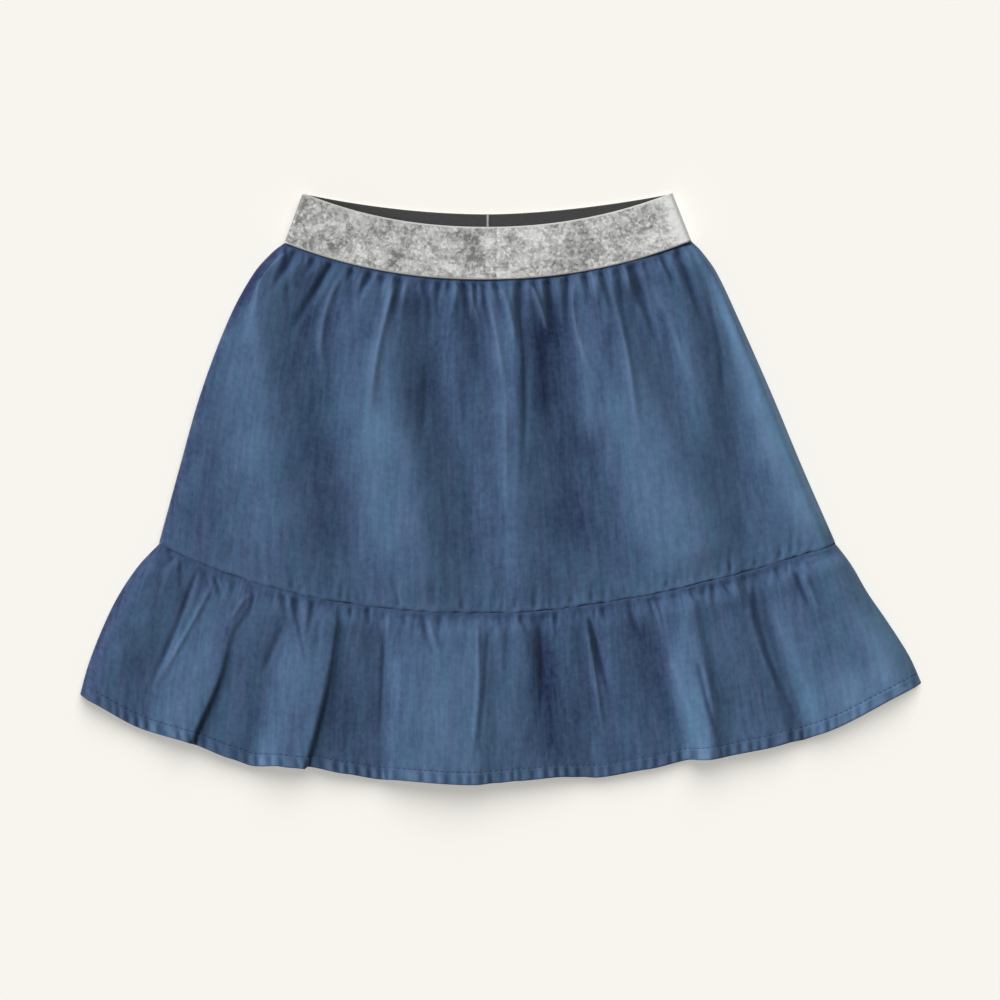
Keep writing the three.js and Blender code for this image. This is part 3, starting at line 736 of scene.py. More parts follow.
def finish_mesh(mesh, slots, place, masks):
    """Gives a mesh its smooth faces, material slots, place on the cloth and named values."""
    mesh.polygons.foreach_set("material_index", slots)
    mesh.polygons.foreach_set("use_smooth", np.ones(len(slots), bool))
    mesh.update(calc_edges=True)
    corners = np.zeros(len(mesh.loops), np.int32)
    mesh.loops.foreach_get("vertex_index", corners)
    layer = mesh.uv_layers.new(name="cloth")
    layer.data.foreach_set("uv", place[corners].astype(np.float32).ravel())
    for mask, values in masks.items():
        mesh.attributes.new(mask, "FLOAT", "POINT").data.foreach_set("value", values.astype(np.float32))
    mesh.validate()
    return mesh


def shell_mesh(name, outer, inner_offset, uv, masks):
    """A closed shell: a fine outer grid, an inner grid of every second point, and rims.

    inner_offset is the vector from each outer point to the inner face, uv the place on the cloth in
    metres, and masks the named values that the materials read.
    """
    rows, cols = outer.shape[:2]
    inner = (outer + inner_offset)[::2, ::2]
    in_rows, in_cols = inner.shape[:2]
    start = rows * cols
    co = np.concatenate([outer.reshape(-1, 3), inner.reshape(-1, 3)]) * MM

    def grid_quads(n_rows, n_cols, base, turned):
        a = base + np.arange(n_rows - 1)[:, None] * n_cols + np.arange(n_cols - 1)[None, :]
        quad = np.stack([a, a + n_cols, a + n_cols + 1, a + 1], axis=2).reshape(-1, 4)
        return quad[:, ::-1] if turned else quad

    quads = np.concatenate([grid_quads(rows, cols, 0, False), grid_quads(in_rows, in_cols, start, True)])
    outside = (rows - 1) * (cols - 1)

    def rim(fine, coarse):
        a, b, c = fine[0:-2:2], fine[1:-1:2], fine[2::2]
        p, q = coarse[:-1], coarse[1:]
        return np.concatenate([
            np.stack([a, b, p], axis=1), np.stack([b, q, p], axis=1), np.stack([b, c, q], axis=1),
        ])

    fine = np.arange(start).reshape(rows, cols)
    coarse = start + np.arange(in_rows * in_cols).reshape(in_rows, in_cols)
    rims = np.concatenate([
        rim(fine[0], coarse[0]),
        rim(fine[-1, ::-1], coarse[-1, ::-1]),
        rim(fine[::-1, 0], coarse[::-1, 0]),
        rim(fine[:, -1], coarse[:, -1]),
    ])
    corners = np.concatenate([quads.ravel(), rims.ravel()])
    totals = np.concatenate([np.full(len(quads), 4), np.full(len(rims), 3)])
    mesh = bpy.data.meshes.new(name)
    mesh.vertices.add(len(co))
    mesh.vertices.foreach_set("co", co.astype(np.float32).ravel())
    mesh.loops.add(len(corners))
    mesh.loops.foreach_set("vertex_index", corners.astype(np.int32))
    mesh.polygons.add(len(totals))
    starts = np.concatenate([[0], np.cumsum(totals)[:-1]])
    mesh.polygons.foreach_set("loop_start", starts.astype(np.int32))
    slots = np.zeros(len(totals), np.int32)
    slots[outside:len(quads)] = 1
    place = np.concatenate([uv.reshape(-1, 2), uv[::2, ::2].reshape(-1, 2)])
    both_sides = {}
    for mask, values in masks.items():
        both_sides[mask] = np.concatenate([values.ravel(), values[::2, ::2].ravel()])
    return finish_mesh(mesh, slots, place, both_sides)


def place_piece(name, mesh, materials, replaces=()):
    """Puts a mesh in the scene as a piece that rides on the skirt's body."""
    piece = bpy.data.objects.new(name, mesh)
    bpy.context.scene.collection.objects.link(piece)
    for material in materials:
        mesh.materials.append(material)
    mesh.transform(Matrix.Translation((0, DRAWN_ZERO_Y, 0)))
    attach(piece, "root")
    if replaces:
        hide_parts(*replaces)
    return piece


def spaced_rows(stretches):
    """Distances down a piece, from stretches of (end, pitch) that follow on from each other."""
    rows = [stretches[0][0]]
    for end, pitch in stretches[1:]:
        steps = max(1, round((end - rows[-1]) / pitch))
        rows.extend(np.linspace(rows[-1], end, steps + 1)[1:])
    if len(rows) % 2 == 0:
        rows.insert(1, (rows[0] + rows[1]) / 2)
    return np.array(rows)


def fold_columns(folds, total):
    """Column numbers that follow the fold lines, shared out by the room between them."""
    widths = [SIDE_ROOM]
    for before, after in zip(folds[:-1], folds[1:]):
        widths.append(max(b - a for a, b in zip(before[0], after[0])))
    widths.append(SIDE_ROOM)
    share = np.cumsum([0] + widths) / sum(widths)
    even = np.linspace(0, 1, total)
    return np.interp(even, share, np.arange(len(share)))


def panel_piece(sizes):
    return dict(
        outline=PANEL_OUTLINE, upper=EDGES["waist"], lower=EDGES["seam"], levels=PANEL_LEVELS,
        folds=PANEL_FOLDS, length=EDGES["waist"]["y_left"] - EDGES["seam"]["y_left"],
        lower_hold=SEAM_HOLD, seam_height=([0, 1], [WAIST_RISE, WAIST_RISE]), wall=sizes.denim_wall / MM,
    )


def grain_across(piece, x, share, cut_width):
    """Place across the cut cloth: its warp fans out less than the piece's sides do."""
    widest = max(right - left for _, left, right, _, _ in piece["outline"])
    return cut_width * (0.5 + 0.5 * mix(share, x * 2 / widest, STRAIGHT_GRAIN))


def seam_height(sizes):
    """Places across the ruffle seam, and how high the panel's folds still stand there."""
    piece = panel_piece(sizes)
    columns = np.linspace(0, len(PANEL_FOLDS) + 1, 400)
    across_seam, _, _, _, rise = folded_cloth(piece, columns, np.array([piece["length"] * 1.0]))
    return across_seam[0], rise[0]


def ruffle_piece(sizes):
    return dict(
        outline=RUFFLE_OUTLINE, upper=EDGES["seam"], lower=EDGES["hem"], levels=RUFFLE_LEVELS,
        folds=RUFFLE_FOLDS, length=EDGES["seam"]["y_left"] - EDGES["hem"]["y_left"],
        lower_hold=0, seam_height=seam_height(sizes), wall=sizes.denim_wall / MM,
    )


def crumples(x, y, seed):
    """Slight unevenness of soft cloth, from broad waves down to small dents."""
    broad = 0.30 * soft_noise(x / 19 + 0.004 * y, y / 60, seed)
    middle = 0.12 * soft_noise(x / 6, y / 22 + 0.01 * x, seed + 1)
    small = 0.09 * soft_noise(x / 3.6, y / 5, seed + 2)
    return broad + middle + small


def build_front_panel(sizes, materials):
    piece = panel_piece(sizes)
    length = piece["length"]
    columns = fold_columns(PANEL_FOLDS, sizes.panel_columns)
    down = spaced_rows([
        (-TUCK, 0), (0, 0.8), (8, 0.6), (50, 1.2), (length - 6, 1.9), (length - 1.5, 0.8), (length, 0.3),
        (length + SEAM_PAST, 0.6),
    ])
    plain_x, share, base, side, rise = folded_cloth(piece, columns, np.clip(down, 0, length))
    row = down[:, None]
    below = np.maximum(row, 0)
    above = length - row
    near_seam = nearness(above)
    smooth = upright_near(normals_of(base), near_seam * side)
    x, y = base[:, :, 0], base[:, :, 1]
    depth = WAIST_STRENGTH * gather_depth(WAIST_GATHERS, x, below)
    depth += pucker_depth(WAIST_PUCKERS, x, below) + pucker_depth(SEAM_PUCKERS, x, above)
    depth += crease_depth(PANEL_CREASES, x, y) * ease(below / GATHER_START)
    depth = mix(depth, seam_puckers(x), near_seam)
    detail = (crumples(x, y, 21) * (1 - near_seam) - depth) * side
    tucked = ease(-row / TUCK)
    lift = np.maximum(detail, -DEEPEST) * (1 - tucked) - seam_roll(above, x, *PANEL_ROLL)
    points = base + smooth * (piece["wall"] / 2)
    points = points + smooth * lift[:, :, None]
    points[:, :, 2] -= (TUCK_DEPTH * (1 - ease(below / 2.5)) + TUCK_DROP * tucked) * side
    points[:, :, 1] += np.maximum(-row, 0) - np.maximum(-above, 0) + seam_wander(x) * near_seam
    centre = (piece["upper"]["left"] + piece["upper"]["right"]) / 2
    points[:, :, 0] -= TUCK_NARROWING * ease(-row) * (points[:, :, 0] - centre)
    # Painted light and shade in the masks: the tone is painted lighter on high folds and darker in troughs,
    # lighter or darker along the listed strips, darker for about 45 mm below the waist and lighter just
    # above the seam, and painted darker at the left side fold and lighter at the right one; the crease mask
    # is painted shade in the gathers and creases and a painted dark line along the seam; the
    # wear_and_ridge_light mask lightens raised creases, partly as rubbing and partly as painted light
    wash_and_shade = strip_strength(PANEL_WASH_AND_SHADE, plain_x, row) - 0.12 * bell(below, 45) + 0.08 * bell(above, 14)
    masks = dict(
        crease=np.clip(depth / FULL_CREASE_SHADE + SEAM_SHADE * bell(above, 0.6), 0, 1),
        wear_and_ridge_light=np.clip(-depth / FULL_WEAR_AND_LIGHT, 0, 1),
        tone=0.5 + sizes.fold_light_and_shade * (rise / PANEL_HIGHEST - 0.5) + wash_and_shade - edge_shade_and_light(share),
    )
    uv = np.stack([grain_across(piece, plain_x, share, PANEL_CUT[0]), row * MM + 0 * plain_x], axis=2)
    mesh = shell_mesh("front_panel_denim", points, -smooth * piece["wall"], uv, masks)
    panel = place_piece("front_panel_denim", mesh, materials, ["front_panel"])


def hem_rope(along, to_hem, hem):
    """Grooves across the hem that its pull makes, at -1, and the raised cloth between them; the grooves are
    also painted darker as shade and the raised cloth lighter as rubbing.
    """
    reach = 0.25 * ease((hem + ROPE_ABOVE_HEM - to_hem) / ROPE_ABOVE_HEM) + 0.75 * ease((hem - to_hem) / 4)
    phase = along / ROPE_PITCH + 0.012 * to_hem + 0.6 * soft_noise(along / 16, 0 * along, 43)
    phase = phase + 0.2 * soft_noise(along / 6, 0 * along, 45)
    strength = 1.1 + 0.6 * soft_noise(along / 9, 0 * along, 44)
    bar = (0.5 - 0.5 * np.sin(2 * np.pi * phase)) ** 2.2
    return (0.4 - 1.4 * bar) * ease(to_hem / 0.6) * reach * strength


def hem_step(to_hem, hem):
    """1 on the folded hem and 0 above it."""
    return ease((hem + 0.5 - to_hem) / HEM_STEP)


def stitch_row(to_hem, hem):
    """The row of a surface that lies nearest to the hem's stitches."""
    return int(np.argmin(np.abs(to_hem[:, 0] - hem + STITCH_DOWN)))


def build_front_ruffle(sizes, materials, thread):
    piece = ruffle_piece(sizes)
    length = piece["length"]
    hem = sizes.hem_depth / MM
    columns = fold_columns(RUFFLE_FOLDS, sizes.ruffle_columns)
    down = spaced_rows([
        (-SEAM_PAST, 0), (0, 0.6), (1.5, 0.3), (8, 0.65), (26, 1.1), (length - hem - 3, 1.7), (length, 0.55),
    ])
    plain_x, share, base, side, rise = folded_cloth(piece, columns, np.maximum(down, 0))
    row = down[:, None]
    below = np.maximum(row, 0)
    to_hem = length - row
    near_seam = nearness(row)
    smooth = upright_near(normals_of(base), near_seam * side)
    x, y = base[:, :, 0], base[:, :, 1]
    depth = RUFFLE_STRENGTH * gather_depth(RUFFLE_GATHERS, x, below)
    depth += pucker_depth(RUFFLE_PUCKERS, x, below) + crease_depth(RUFFLE_CREASES, x, y)
    depth = mix(depth, seam_puckers(x), near_seam)
    step = hem_step(to_hem, hem)
    stitch_groove = STITCH_GROOVE * bell(to_hem - hem + STITCH_DOWN, STITCH_HALF)
    rope = hem_rope(plain_x, to_hem, hem)
    crumple = RUFFLE_CRUMPLE * crumples(x, y, 41) * (1 - near_seam)
    detail = (crumple - depth + HEM_STEP_HEIGHT * step - stitch_groove + ROPE_HEIGHT * rope) * side
    lift = np.maximum(detail, -DEEPEST) - seam_roll(row, x, *RUFFLE_ROLL)
    lift = lift - HEM_ROUND * ease(1 - to_hem / HEM_STEP)
    points = base + smooth * (piece["wall"] / 2)
    points = points + smooth * lift[:, :, None]
    points[:, :, 1] += np.maximum(-row, 0) + seam_wander(x) * near_seam
    thick = piece["wall"] + (sizes.hem_wall / MM - piece["wall"]) * step
    # Painted shade: the stitch groove, the rope's grooves and a thin line along the seam are painted darker.
    # The rubbed value lightens the rope's raised bars and the hem's fold edge as real rubbing. The tone and
    # the masks carry painted light and shade as on the front panel, the tone also darker just below the seam
    shade = 1.2 * stitch_groove + 0.9 * np.maximum(-rope, 0) + SEAM_SHADE * bell(row, 0.5)
    rubbed = 0.9 * np.maximum(rope, 0) + 0.2 * ease(1 - to_hem / 1.6)
    wash_and_shade = strip_strength(RUFFLE_WASH_AND_SHADE, plain_x, row) - 0.1 * bell(row, 7)
    masks = dict(
        crease=np.clip(depth / FULL_CREASE_SHADE + shade, 0, 1),
        wear_and_ridge_light=np.clip(-depth / FULL_WEAR_AND_LIGHT + rubbed, 0, 1),
        tone=0.5 + sizes.fold_light_and_shade * (rise / RUFFLE_HIGHEST - 0.5) + wash_and_shade - edge_shade_and_light(share),
    )
    uv = np.stack([grain_across(piece, plain_x, share, RUFFLE_CUT[0]), row * MM + 0 * plain_x], axis=2)
    mesh = shell_mesh("front_ruffle_denim", points, -smooth * thick[:, :, None], uv, masks)
    ruffle = place_piece("front_ruffle_denim", mesh, materials, ["front_ruffle"])
    sewn = stitch_row(to_hem, hem)
    sew_along("front_hem_stitches", points[sewn] + 0.12 * smooth[sewn], thread)


def thread_mesh(name, starts, ends):
    """Stitches as short six-sided tubes with narrowed ends that dip into the cloth."""
    sides = 6
    along = np.array([0, 0.12, 0.5, 0.88, 1])
    swell = np.array([0.35, 1, 1.05, 1, 0.35]) * THREAD_RADIUS
    dip = np.array([-1.1, -0.1, 0.1, -0.1, -1.1]) * THREAD_RADIUS
    run = ends - starts
    run_way = run / np.linalg.norm(run, axis=1, keepdims=True)
    cross = np.cross(run_way, [0, 0, 1])
    cross /= np.maximum(np.linalg.norm(cross, axis=1, keepdims=True), 1e-9)
    up = np.cross(cross, run_way)
    turn = np.arange(sides) * 2 * np.pi / sides
    centre = starts[:, None] + run[:, None] * along[None, :, None] + up[:, None] * dip[None, :, None]
    ring = cross[:, None] * np.cos(turn)[None, :, None] + up[:, None] * np.sin(turn)[None, :, None]
    co = centre[:, :, None] + ring[:, None] * swell[None, :, None, None]
    index = np.arange(len(starts) * len(along) * sides).reshape(len(starts), len(along), sides)
    after = np.roll(index, -1, axis=2)
    quads = np.stack([index[:, :-1], index[:, 1:], after[:, 1:], after[:, :-1]], axis=3).reshape(-1, 4)
    faces = quads.tolist() + index[:, 0].tolist() + index[:, -1, ::-1].tolist()
    mesh = bpy.data.meshes.new(name)
    mesh.from_pydata((co.reshape(-1, 3) * MM).tolist(), [], faces)
    mesh.polygons.foreach_set("use_smooth", np.ones(len(faces), bool))
    return mesh


def sew_along(name, line, thread):
    """A row of stitches along a line of points."""
    steps = np.linalg.norm(np.diff(line, axis=0), axis=1)
    run = np.concatenate([[0], np.cumsum(steps)])
    starts = np.arange(1.5, run[-1] - HEM_STITCH - 1.5, HEM_STITCH + HEM_STITCH_GAP)
    ends = starts + HEM_STITCH
    at_starts = np.stack([np.interp(starts, run, line[:, axis]) for axis in range(3)], axis=1)
    at_ends = np.stack([np.interp(ends, run, line[:, axis]) for axis in range(3)], axis=1)
    place_piece(name, thread_mesh(name, at_starts, at_ends), [thread])


def uneven(n):
    """A value between -1 and 1 that looks irregular from one number to the next."""
    return math.sin(n * 12.9898 + 4.1) * 0.6 + math.sin(n * 7.233 + 1.3) * 0.4


def pressed_grooves(pressed, width):
    """The creases of the lower cloth, spread unevenly across the seam and fanning out."""
    grooves = []
    for kind in (pressed["gathers"], pressed["folds"]):
        count = kind["count"]
        for n in range(count):
            at = width * ((n + 0.5 + UNEVEN_PLACE * uneven(n)) / count - 0.5)
            reach = mix(kind["shortest"], kind["longest"], 0.5 + 0.5 * uneven(n + count))
            depth = kind["depth"] * (1 - UNEVEN_DEPTH + UNEVEN_DEPTH * uneven(n + 2 * count))
            grooves.append((at, at * kind["drift"] * reach / kind["longest"], reach, depth, kind["width"]))
    return grooves


def build_under(name, node, outline, ends, pressed, cut, sizes, materials, hem=0, thread=None):
    """A piece of the lower cloth, which is pressed flat by the surface that it lies on."""
    wall = sizes.denim_wall / MM
    upper, lower = (UNDER_EDGES[end] for end in ends)
    length = upper["y_left"] - lower["y_left"]
    if hem:
        stretches = [(0, 0), (8, 1.2), (length - hem - 3, 3), (length, 1.0)]
    else:
        stretches = [(-TUCK, 0), (8, 1.2), (length, 3), (length, 2)]
    down = spaced_rows(stretches)
    level = np.clip(down / length, 0, 1)
    _, _, middle, half, fold, _ = outline_at(outline, level, wall)
    even = np.linspace(1, -1, sizes.under_columns)
    share = np.sign(even) * (1 - (1 - np.abs(even)) ** UNDER_CROWDING)
    share = np.broadcast_to(share, (len(down), sizes.under_columns))
    x = middle[:, None] + half[:, None] * share
    row = down[:, None]
    below = np.maximum(row, 0)
    centre = (upper["left"] + upper["right"]) / 2
    x = x - TUCK_NARROWING * ease(-row) * (x - centre)
    grooves = pressed_grooves(pressed, upper["right"] - upper["left"])
    deepest = max(groove[3] for groove in grooves)
    depth = np.zeros(x.shape)
    for at, drift, reach, deep, width in grooves:
        along = below / reach
        away = x - centre - at - drift * along
        depth += deep * (1 - ease(along)) * bell(away, width * (1 + 0.5 * np.clip(along, 0, 1)))
    depth = np.minimum(depth, deepest)
    side = np.clip((1 - np.abs(share)) * SIDE_SLOPE, 0, 1)
    groove = np.maximum(mix(-PRESSED_SHARE * deepest, deepest, depth / deepest), 0) * side
    y = mix(edge_y(upper, share), edge_y(lower, share), level[:, None]) + np.maximum(-row, 0)
    z = across(fold[:, None], wall / 2, share, LOWER_CURVE) + groove
    if not hem:
        z = z + (sizes.elastic_wall / MM + 0.15) * (1 - ease(below / 3.5)) * side
    points = np.stack([x, y, z], axis=2)
    smooth = normals_of(points)
    outer = points + smooth * wall / 2
    outer[:, :, 2] = np.maximum(outer[:, :, 2], 0)
    to_hem = length - row
    thick = wall + 0 * x
    # The crease mask is painted shade in the pressed grooves, and on the hem also in the rope's grooves and
    # the stitch groove; the rope's raised bars are lightened as rubbing
    masks = dict(crease=np.clip(depth / deepest, 0, 1) * 0.6, wear_and_ridge_light=np.zeros(x.shape), tone=0.5 + 0 * x)
    if hem:
        thick = thick + (sizes.hem_wall / MM - wall) * hem_step(to_hem, hem)
        rope = hem_rope(x, to_hem, hem)
        stitch_groove = bell(to_hem - hem + STITCH_DOWN, STITCH_HALF)
        outer[:, :, 2] += (0.3 * np.maximum(-rope, 0) + 0.35 * stitch_groove) * side
        masks["wear_and_ridge_light"] = 0.8 * np.maximum(rope, 0)
        masks["crease"] = masks["crease"] + np.maximum(-rope, 0) + 0.5 * stitch_groove
    uv = np.stack([(0.5 + 0.5 * share) * cut[0], row * MM + 0 * x], axis=2)
    mesh = shell_mesh(name, outer, -smooth * thick[:, :, None], uv, masks)
    piece = place_piece(name, mesh, materials, [node])
    if hem:
        line = np.maximum(outer[stitch_row(to_hem, hem)], [-1000, -1000, THREAD_RADIUS])
        sew_along(node + "_stitches", line, thread)


def build_waistband(sizes, materials):
    """The elastic as one closed ring: its upper half runs from left to right, then its lower half."""
    wall = sizes.elastic_wall / MM
    turn = np.arange(BAND_COLUMNS) / BAND_COLUMNS
    upper_half = turn < 0.5
    share = -np.cos(np.where(upper_half, turn, 1 - turn) * 2 * np.pi)
    level = np.array(BAND_LEVELS)[:, None]
    _, _, middle, half, fold, trough = outline_at(BAND_OUTLINE, level, 0)
    shares = np.broadcast_to(share, (len(level), BAND_COLUMNS))
    is_upper = np.broadcast_to(upper_half, shares.shape)
    x = middle + (half - wall / 2) * shares
    y = np.where(
        is_upper,
        mix(edge_y(EDGES["band_top"], shares), edge_y(EDGES["waist"], shares), level),
        mix(edge_y(UNDER_EDGES["band_top"], shares), edge_y(UNDER_EDGES["waist"], shares), level),
    )
    z_upper = across(fold, trough, shares, BAND_UPPER_CURVE) - FRONT_JOIN_DEPTH * bell(x - FRONT_JOIN_X, 0.7)
    z_lower = across(fold, wall / 2, shares, BAND_LOWER_CURVE)
    ripple = 0.22 * soft_noise(x / 7, level * 1.5 + 0 * x, 51) * ease((level - 0.4) / 0.6)
    slow = 0.35 * soft_noise(x / 38, level * 0.6 + 0 * x, 52)
    z = np.where(is_upper, z_upper + (ripple + slow) * np.clip((1 - np.abs(shares)) * 6, 0, 1), z_lower)
    points = np.stack([x, y, z], axis=2)
    down = np.gradient(points, axis=0)
    sideways = np.roll(points, -1, axis=1) - np.roll(points, 1, axis=1)
    normal = np.cross(down, sideways)
    normal /= np.linalg.norm(normal, axis=2, keepdims=True)
    edge = np.minimum(level, 1 - level)
    round_off = np.sqrt(np.clip(1 - (1 - np.clip(edge / SELVEDGE_HALF, 0, 1)) ** 2, 0, 1))
    selvedge = SELVEDGE_HEIGHT * ease(1 - np.abs(edge - SELVEDGE_AT) / SELVEDGE_HALF)
    half_wall = (wall / 2) * (0.35 + 0.65 * round_off) - 0.05 + selvedge
    outer = points + normal * half_wall[:, :, None]
    inner = points - normal * half_wall[:, :, None]
    outer[:, :, 2] = np.maximum(outer[:, :, 2], 0)
    co = np.concatenate([outer.reshape(-1, 3), inner.reshape(-1, 3)]) * MM
    index = np.arange(x.size).reshape(x.shape)
    after = np.roll(index, -1, axis=1)
    outer_quads = np.stack([index[:-1], index[1:], after[1:], after[:-1]], axis=2).reshape(-1, 4)
    inner_quads = outer_quads[:, ::-1] + x.size
    top = np.stack([index[0], after[0], after[0] + x.size, index[0] + x.size], axis=1)
    bottom = np.stack([index[-1], index[-1] + x.size, after[-1] + x.size, after[-1]], axis=1)
    quads = np.concatenate([outer_quads, inner_quads, top, bottom])
    mesh = bpy.data.meshes.new("waistband_elastic")
    mesh.from_pydata(co.tolist(), [], quads.tolist())
    slots = np.zeros(len(quads), np.int32)
    slots[len(outer_quads):2 * len(outer_quads)] = 1
    way = np.where(upper_half, share + 1, 3 - share) / 4
    uv = np.stack(np.broadcast_arrays(way * BAND_CUT[0], level * BAND_CUT[1]), axis=2).reshape(-1, 2)
    edge_mask = np.broadcast_to(ease(1 - (edge - SELVEDGE_AT) / SELVEDGE_HALF), shares.shape)
    # Painted glints and shade along the listed strips on the upper face, painted shade at the band's left
    # end and painted light at its right end
    shine_and_shade = strip_strength(BAND_GLINTS_AND_SHADE, x, level * BAND_WIDTH) * is_upper - BAND_END_SHADE * edge_shade_and_light(shares)
    masks = dict(selvedge=np.tile(edge_mask.ravel(), 2), shine_and_shade=np.tile(shine_and_shade.ravel(), 2))
    finish_mesh(mesh, slots, np.tile(uv, (2, 1)), masks)
    band = place_piece("waistband_elastic", mesh, materials, ["waistband"])


def build_back_seam(sizes, thread):
    """The zigzag that joins the elastic into a ring at the centre back, on its inside and outside."""
    wall = sizes.elastic_wall / MM
    band = UNDER_EDGES["band_top"]
    share = (BACK_SEAM_X - (band["left"] + band["right"]) / 2) * 2 / (band["right"] - band["left"])
    top = edge_y(band, share) - 0.4
    bottom = edge_y(UNDER_EDGES["waist"], share) + 0.4
    count = int((top - bottom) / ZIGZAG_STEP)
    turn = np.arange(count + 1)
    y = mix(top, bottom, turn / count)
    starts = []
    ends = []
    for z, half in ((wall + 0.12, ZIGZAG_HALF), (wall + 0.12, -ZIGZAG_HALF), (0.1, ZIGZAG_HALF)):
        x = BACK_SEAM_X + half * np.where(turn % 2, 1, -1)
        line = np.stack([x, y, z + 0 * y], axis=1)
        starts.append(line[:-1])
        ends.append(line[1:])
    mesh = thread_mesh("waistband_back_seam", np.concatenate(starts), np.concatenate(ends))
    place_piece("waistband_back_seam", mesh, [thread])


def new_tree_node(tree, kind, **settings):
    node = tree.nodes.new(kind)
    for name, value in settings.items():
        setattr(node, name, value)
    return node


def set_inputs(node, **values):
    for name, value in values.items():
        node.inputs[name.replace("_", " ")].default_value = value


def fill(tree, socket, value):
    """Gives a socket a number, a colour or another node's output."""
    if isinstance(value, (int, float, tuple)):
        socket.default_value = value
    else:
        tree.links.new(value, socket)


def math_node(tree, operation, first, second):
    node = new_tree_node(tree, "ShaderNodeMath", operation=operation)
    fill(tree, node.inputs[0], first)
    fill(tree, node.inputs[1], second)
    return node.outputs[0]


def times(tree, first, second):
    return math_node(tree, "MULTIPLY", first, second)


def total(tree, first, *others):
    for other in others:
        first = math_node(tree, "ADD", first, other)
    return first


def centred(tree, value, strength):
    """How far a value lies from 0.5, times a strength."""
    return times(tree, math_node(tree, "SUBTRACT", value, 0.5), strength)


def mix_colours(tree, factor, first, second, blend="MIX"):
    node = new_tree_node(tree, "ShaderNodeMix", data_type="RGBA", blend_type=blend)
    for number, value in ((0, factor), (6, first), (7, second)):
        fill(tree, node.inputs[number], value)
    return node.outputs[2]


def cloth_place(tree):
    return new_tree_node(tree, "ShaderNodeUVMap", uv_map="cloth").outputs["UV"]


def named_value(tree, name):
    return new_tree_node(tree, "ShaderNodeAttribute", attribute_name=name).outputs["Fac"]


def opaque(colour, share=1.0):
    return (*(share * c for c in colour), 1)


def stretched_noise(tree, place, scale, detail=2.0, roughness=0.6):
    """Noise over the cloth, with its own scale across and along."""
    mapping = new_tree_node(tree, "ShaderNodeMapping")
    mapping.inputs["Scale"].default_value = (*scale, 1)
    tree.links.new(place, mapping.inputs["Vector"])
    noise = new_tree_node(tree, "ShaderNodeTexNoise")
    set_inputs(noise, Scale=1.0, Detail=detail, Roughness=roughness)
    tree.links.new(mapping.outputs["Vector"], noise.inputs["Vector"])
    return noise.outputs["Fac"]


def facets(tree, place, scale):
    """Cells over the cloth, with a random value for each cell in every channel."""
    cells = new_tree_node(tree, "ShaderNodeTexVoronoi", feature="F1")
    set_inputs(cells, Scale=scale, Randomness=1.0)
    tree.links.new(place, cells.inputs["Vector"])
    split = new_tree_node(tree, "ShaderNodeSeparateColor")
    tree.links.new(cells.outputs["Color"], split.inputs["Color"])
    return split.outputs


def add_relief(tree, shader, height, strength, distance):
    relief = new_tree_node(tree, "ShaderNodeBump")
    set_inputs(relief, Strength=strength, Distance=distance)
    tree.links.new(height, relief.inputs["Height"])
    tree.links.new(relief.outputs["Normal"], shader.inputs["Normal"])


def weave_group():
    """Denim weave: warp streaks and slubs, weft flecks, fine twill, slow fading and change of hue."""
    name = "denim_weave"
    if name in bpy.data.node_groups:
        return bpy.data.node_groups[name]
    tree = bpy.data.node_groups.new(name, "ShaderNodeTree")
    for label, kind, way in (
        ("Deep", "NodeSocketColor", "INPUT"),
        ("Worn", "NodeSocketColor", "INPUT"),
        ("Streaks", "NodeSocketFloat", "INPUT"),
        ("Fading", "NodeSocketFloat", "INPUT"),
        ("Tone", "NodeSocketFloat", "INPUT"),
        ("Colour", "NodeSocketColor", "OUTPUT"),
        ("Height", "NodeSocketFloat", "OUTPUT"),
        ("Roughness", "NodeSocketFloat", "OUTPUT"),
    ):
        tree.interface.new_socket(name=label, in_out=way, socket_type=kind)
    given = new_tree_node(tree, "NodeGroupInput").outputs
    result = new_tree_node(tree, "NodeGroupOutput").inputs
    place = cloth_place(tree)
    threads = [
        centred(tree, stretched_noise(tree, place, scale, detail), strength)
        for scale, detail, strength in WEAVE
    ]
    both = times(tree, total(tree, *threads), given["Streaks"])
    slow = centred(tree, stretched_noise(tree, place, FADE_SCALE, 4.0), given["Fading"])
    tone = total(tree, both, slow, given["Tone"])
    low = math_node(tree, "SUBTRACT", tone, TONE_LOW)
    spread = math_node(tree, "DIVIDE", low, TONE_HIGH - TONE_LOW)
    colour = mix_colours(tree, spread, given["Deep"], given["Worn"])
    hue = centred(tree, stretched_noise(tree, place, HUE_SCALE, 3.0), HUE_STRENGTH)
    tint = mix_colours(tree, total(tree, hue, 0.5), opaque(HUE_WARM), opaque(HUE_COOL))
    tree.links.new(mix_colours(tree, 1.0, colour, tint, "MULTIPLY"), result["Colour"])
    wave = new_tree_node(tree, "ShaderNodeTexWave", wave_type="BANDS", bands_direction="DIAGONAL")
    set_inputs(wave, Scale=TWILL_SCALE, Distortion=0.6)
    tree.links.new(place, wave.inputs["Vector"])
    height = total(tree, times(tree, both, 0.6), times(tree, wave.outputs["Fac"], 0.15))
    tree.links.new(height, result["Height"])
    tree.links.new(total(tree, 0.80, times(tree, tone, 0.12)), result["Roughness"])
    return tree


def new_material(name):
    material = bpy.data.materials.new(name)
    material.use_nodes = True
    return material, material.node_tree, material.node_tree.nodes["Principled BSDF"]


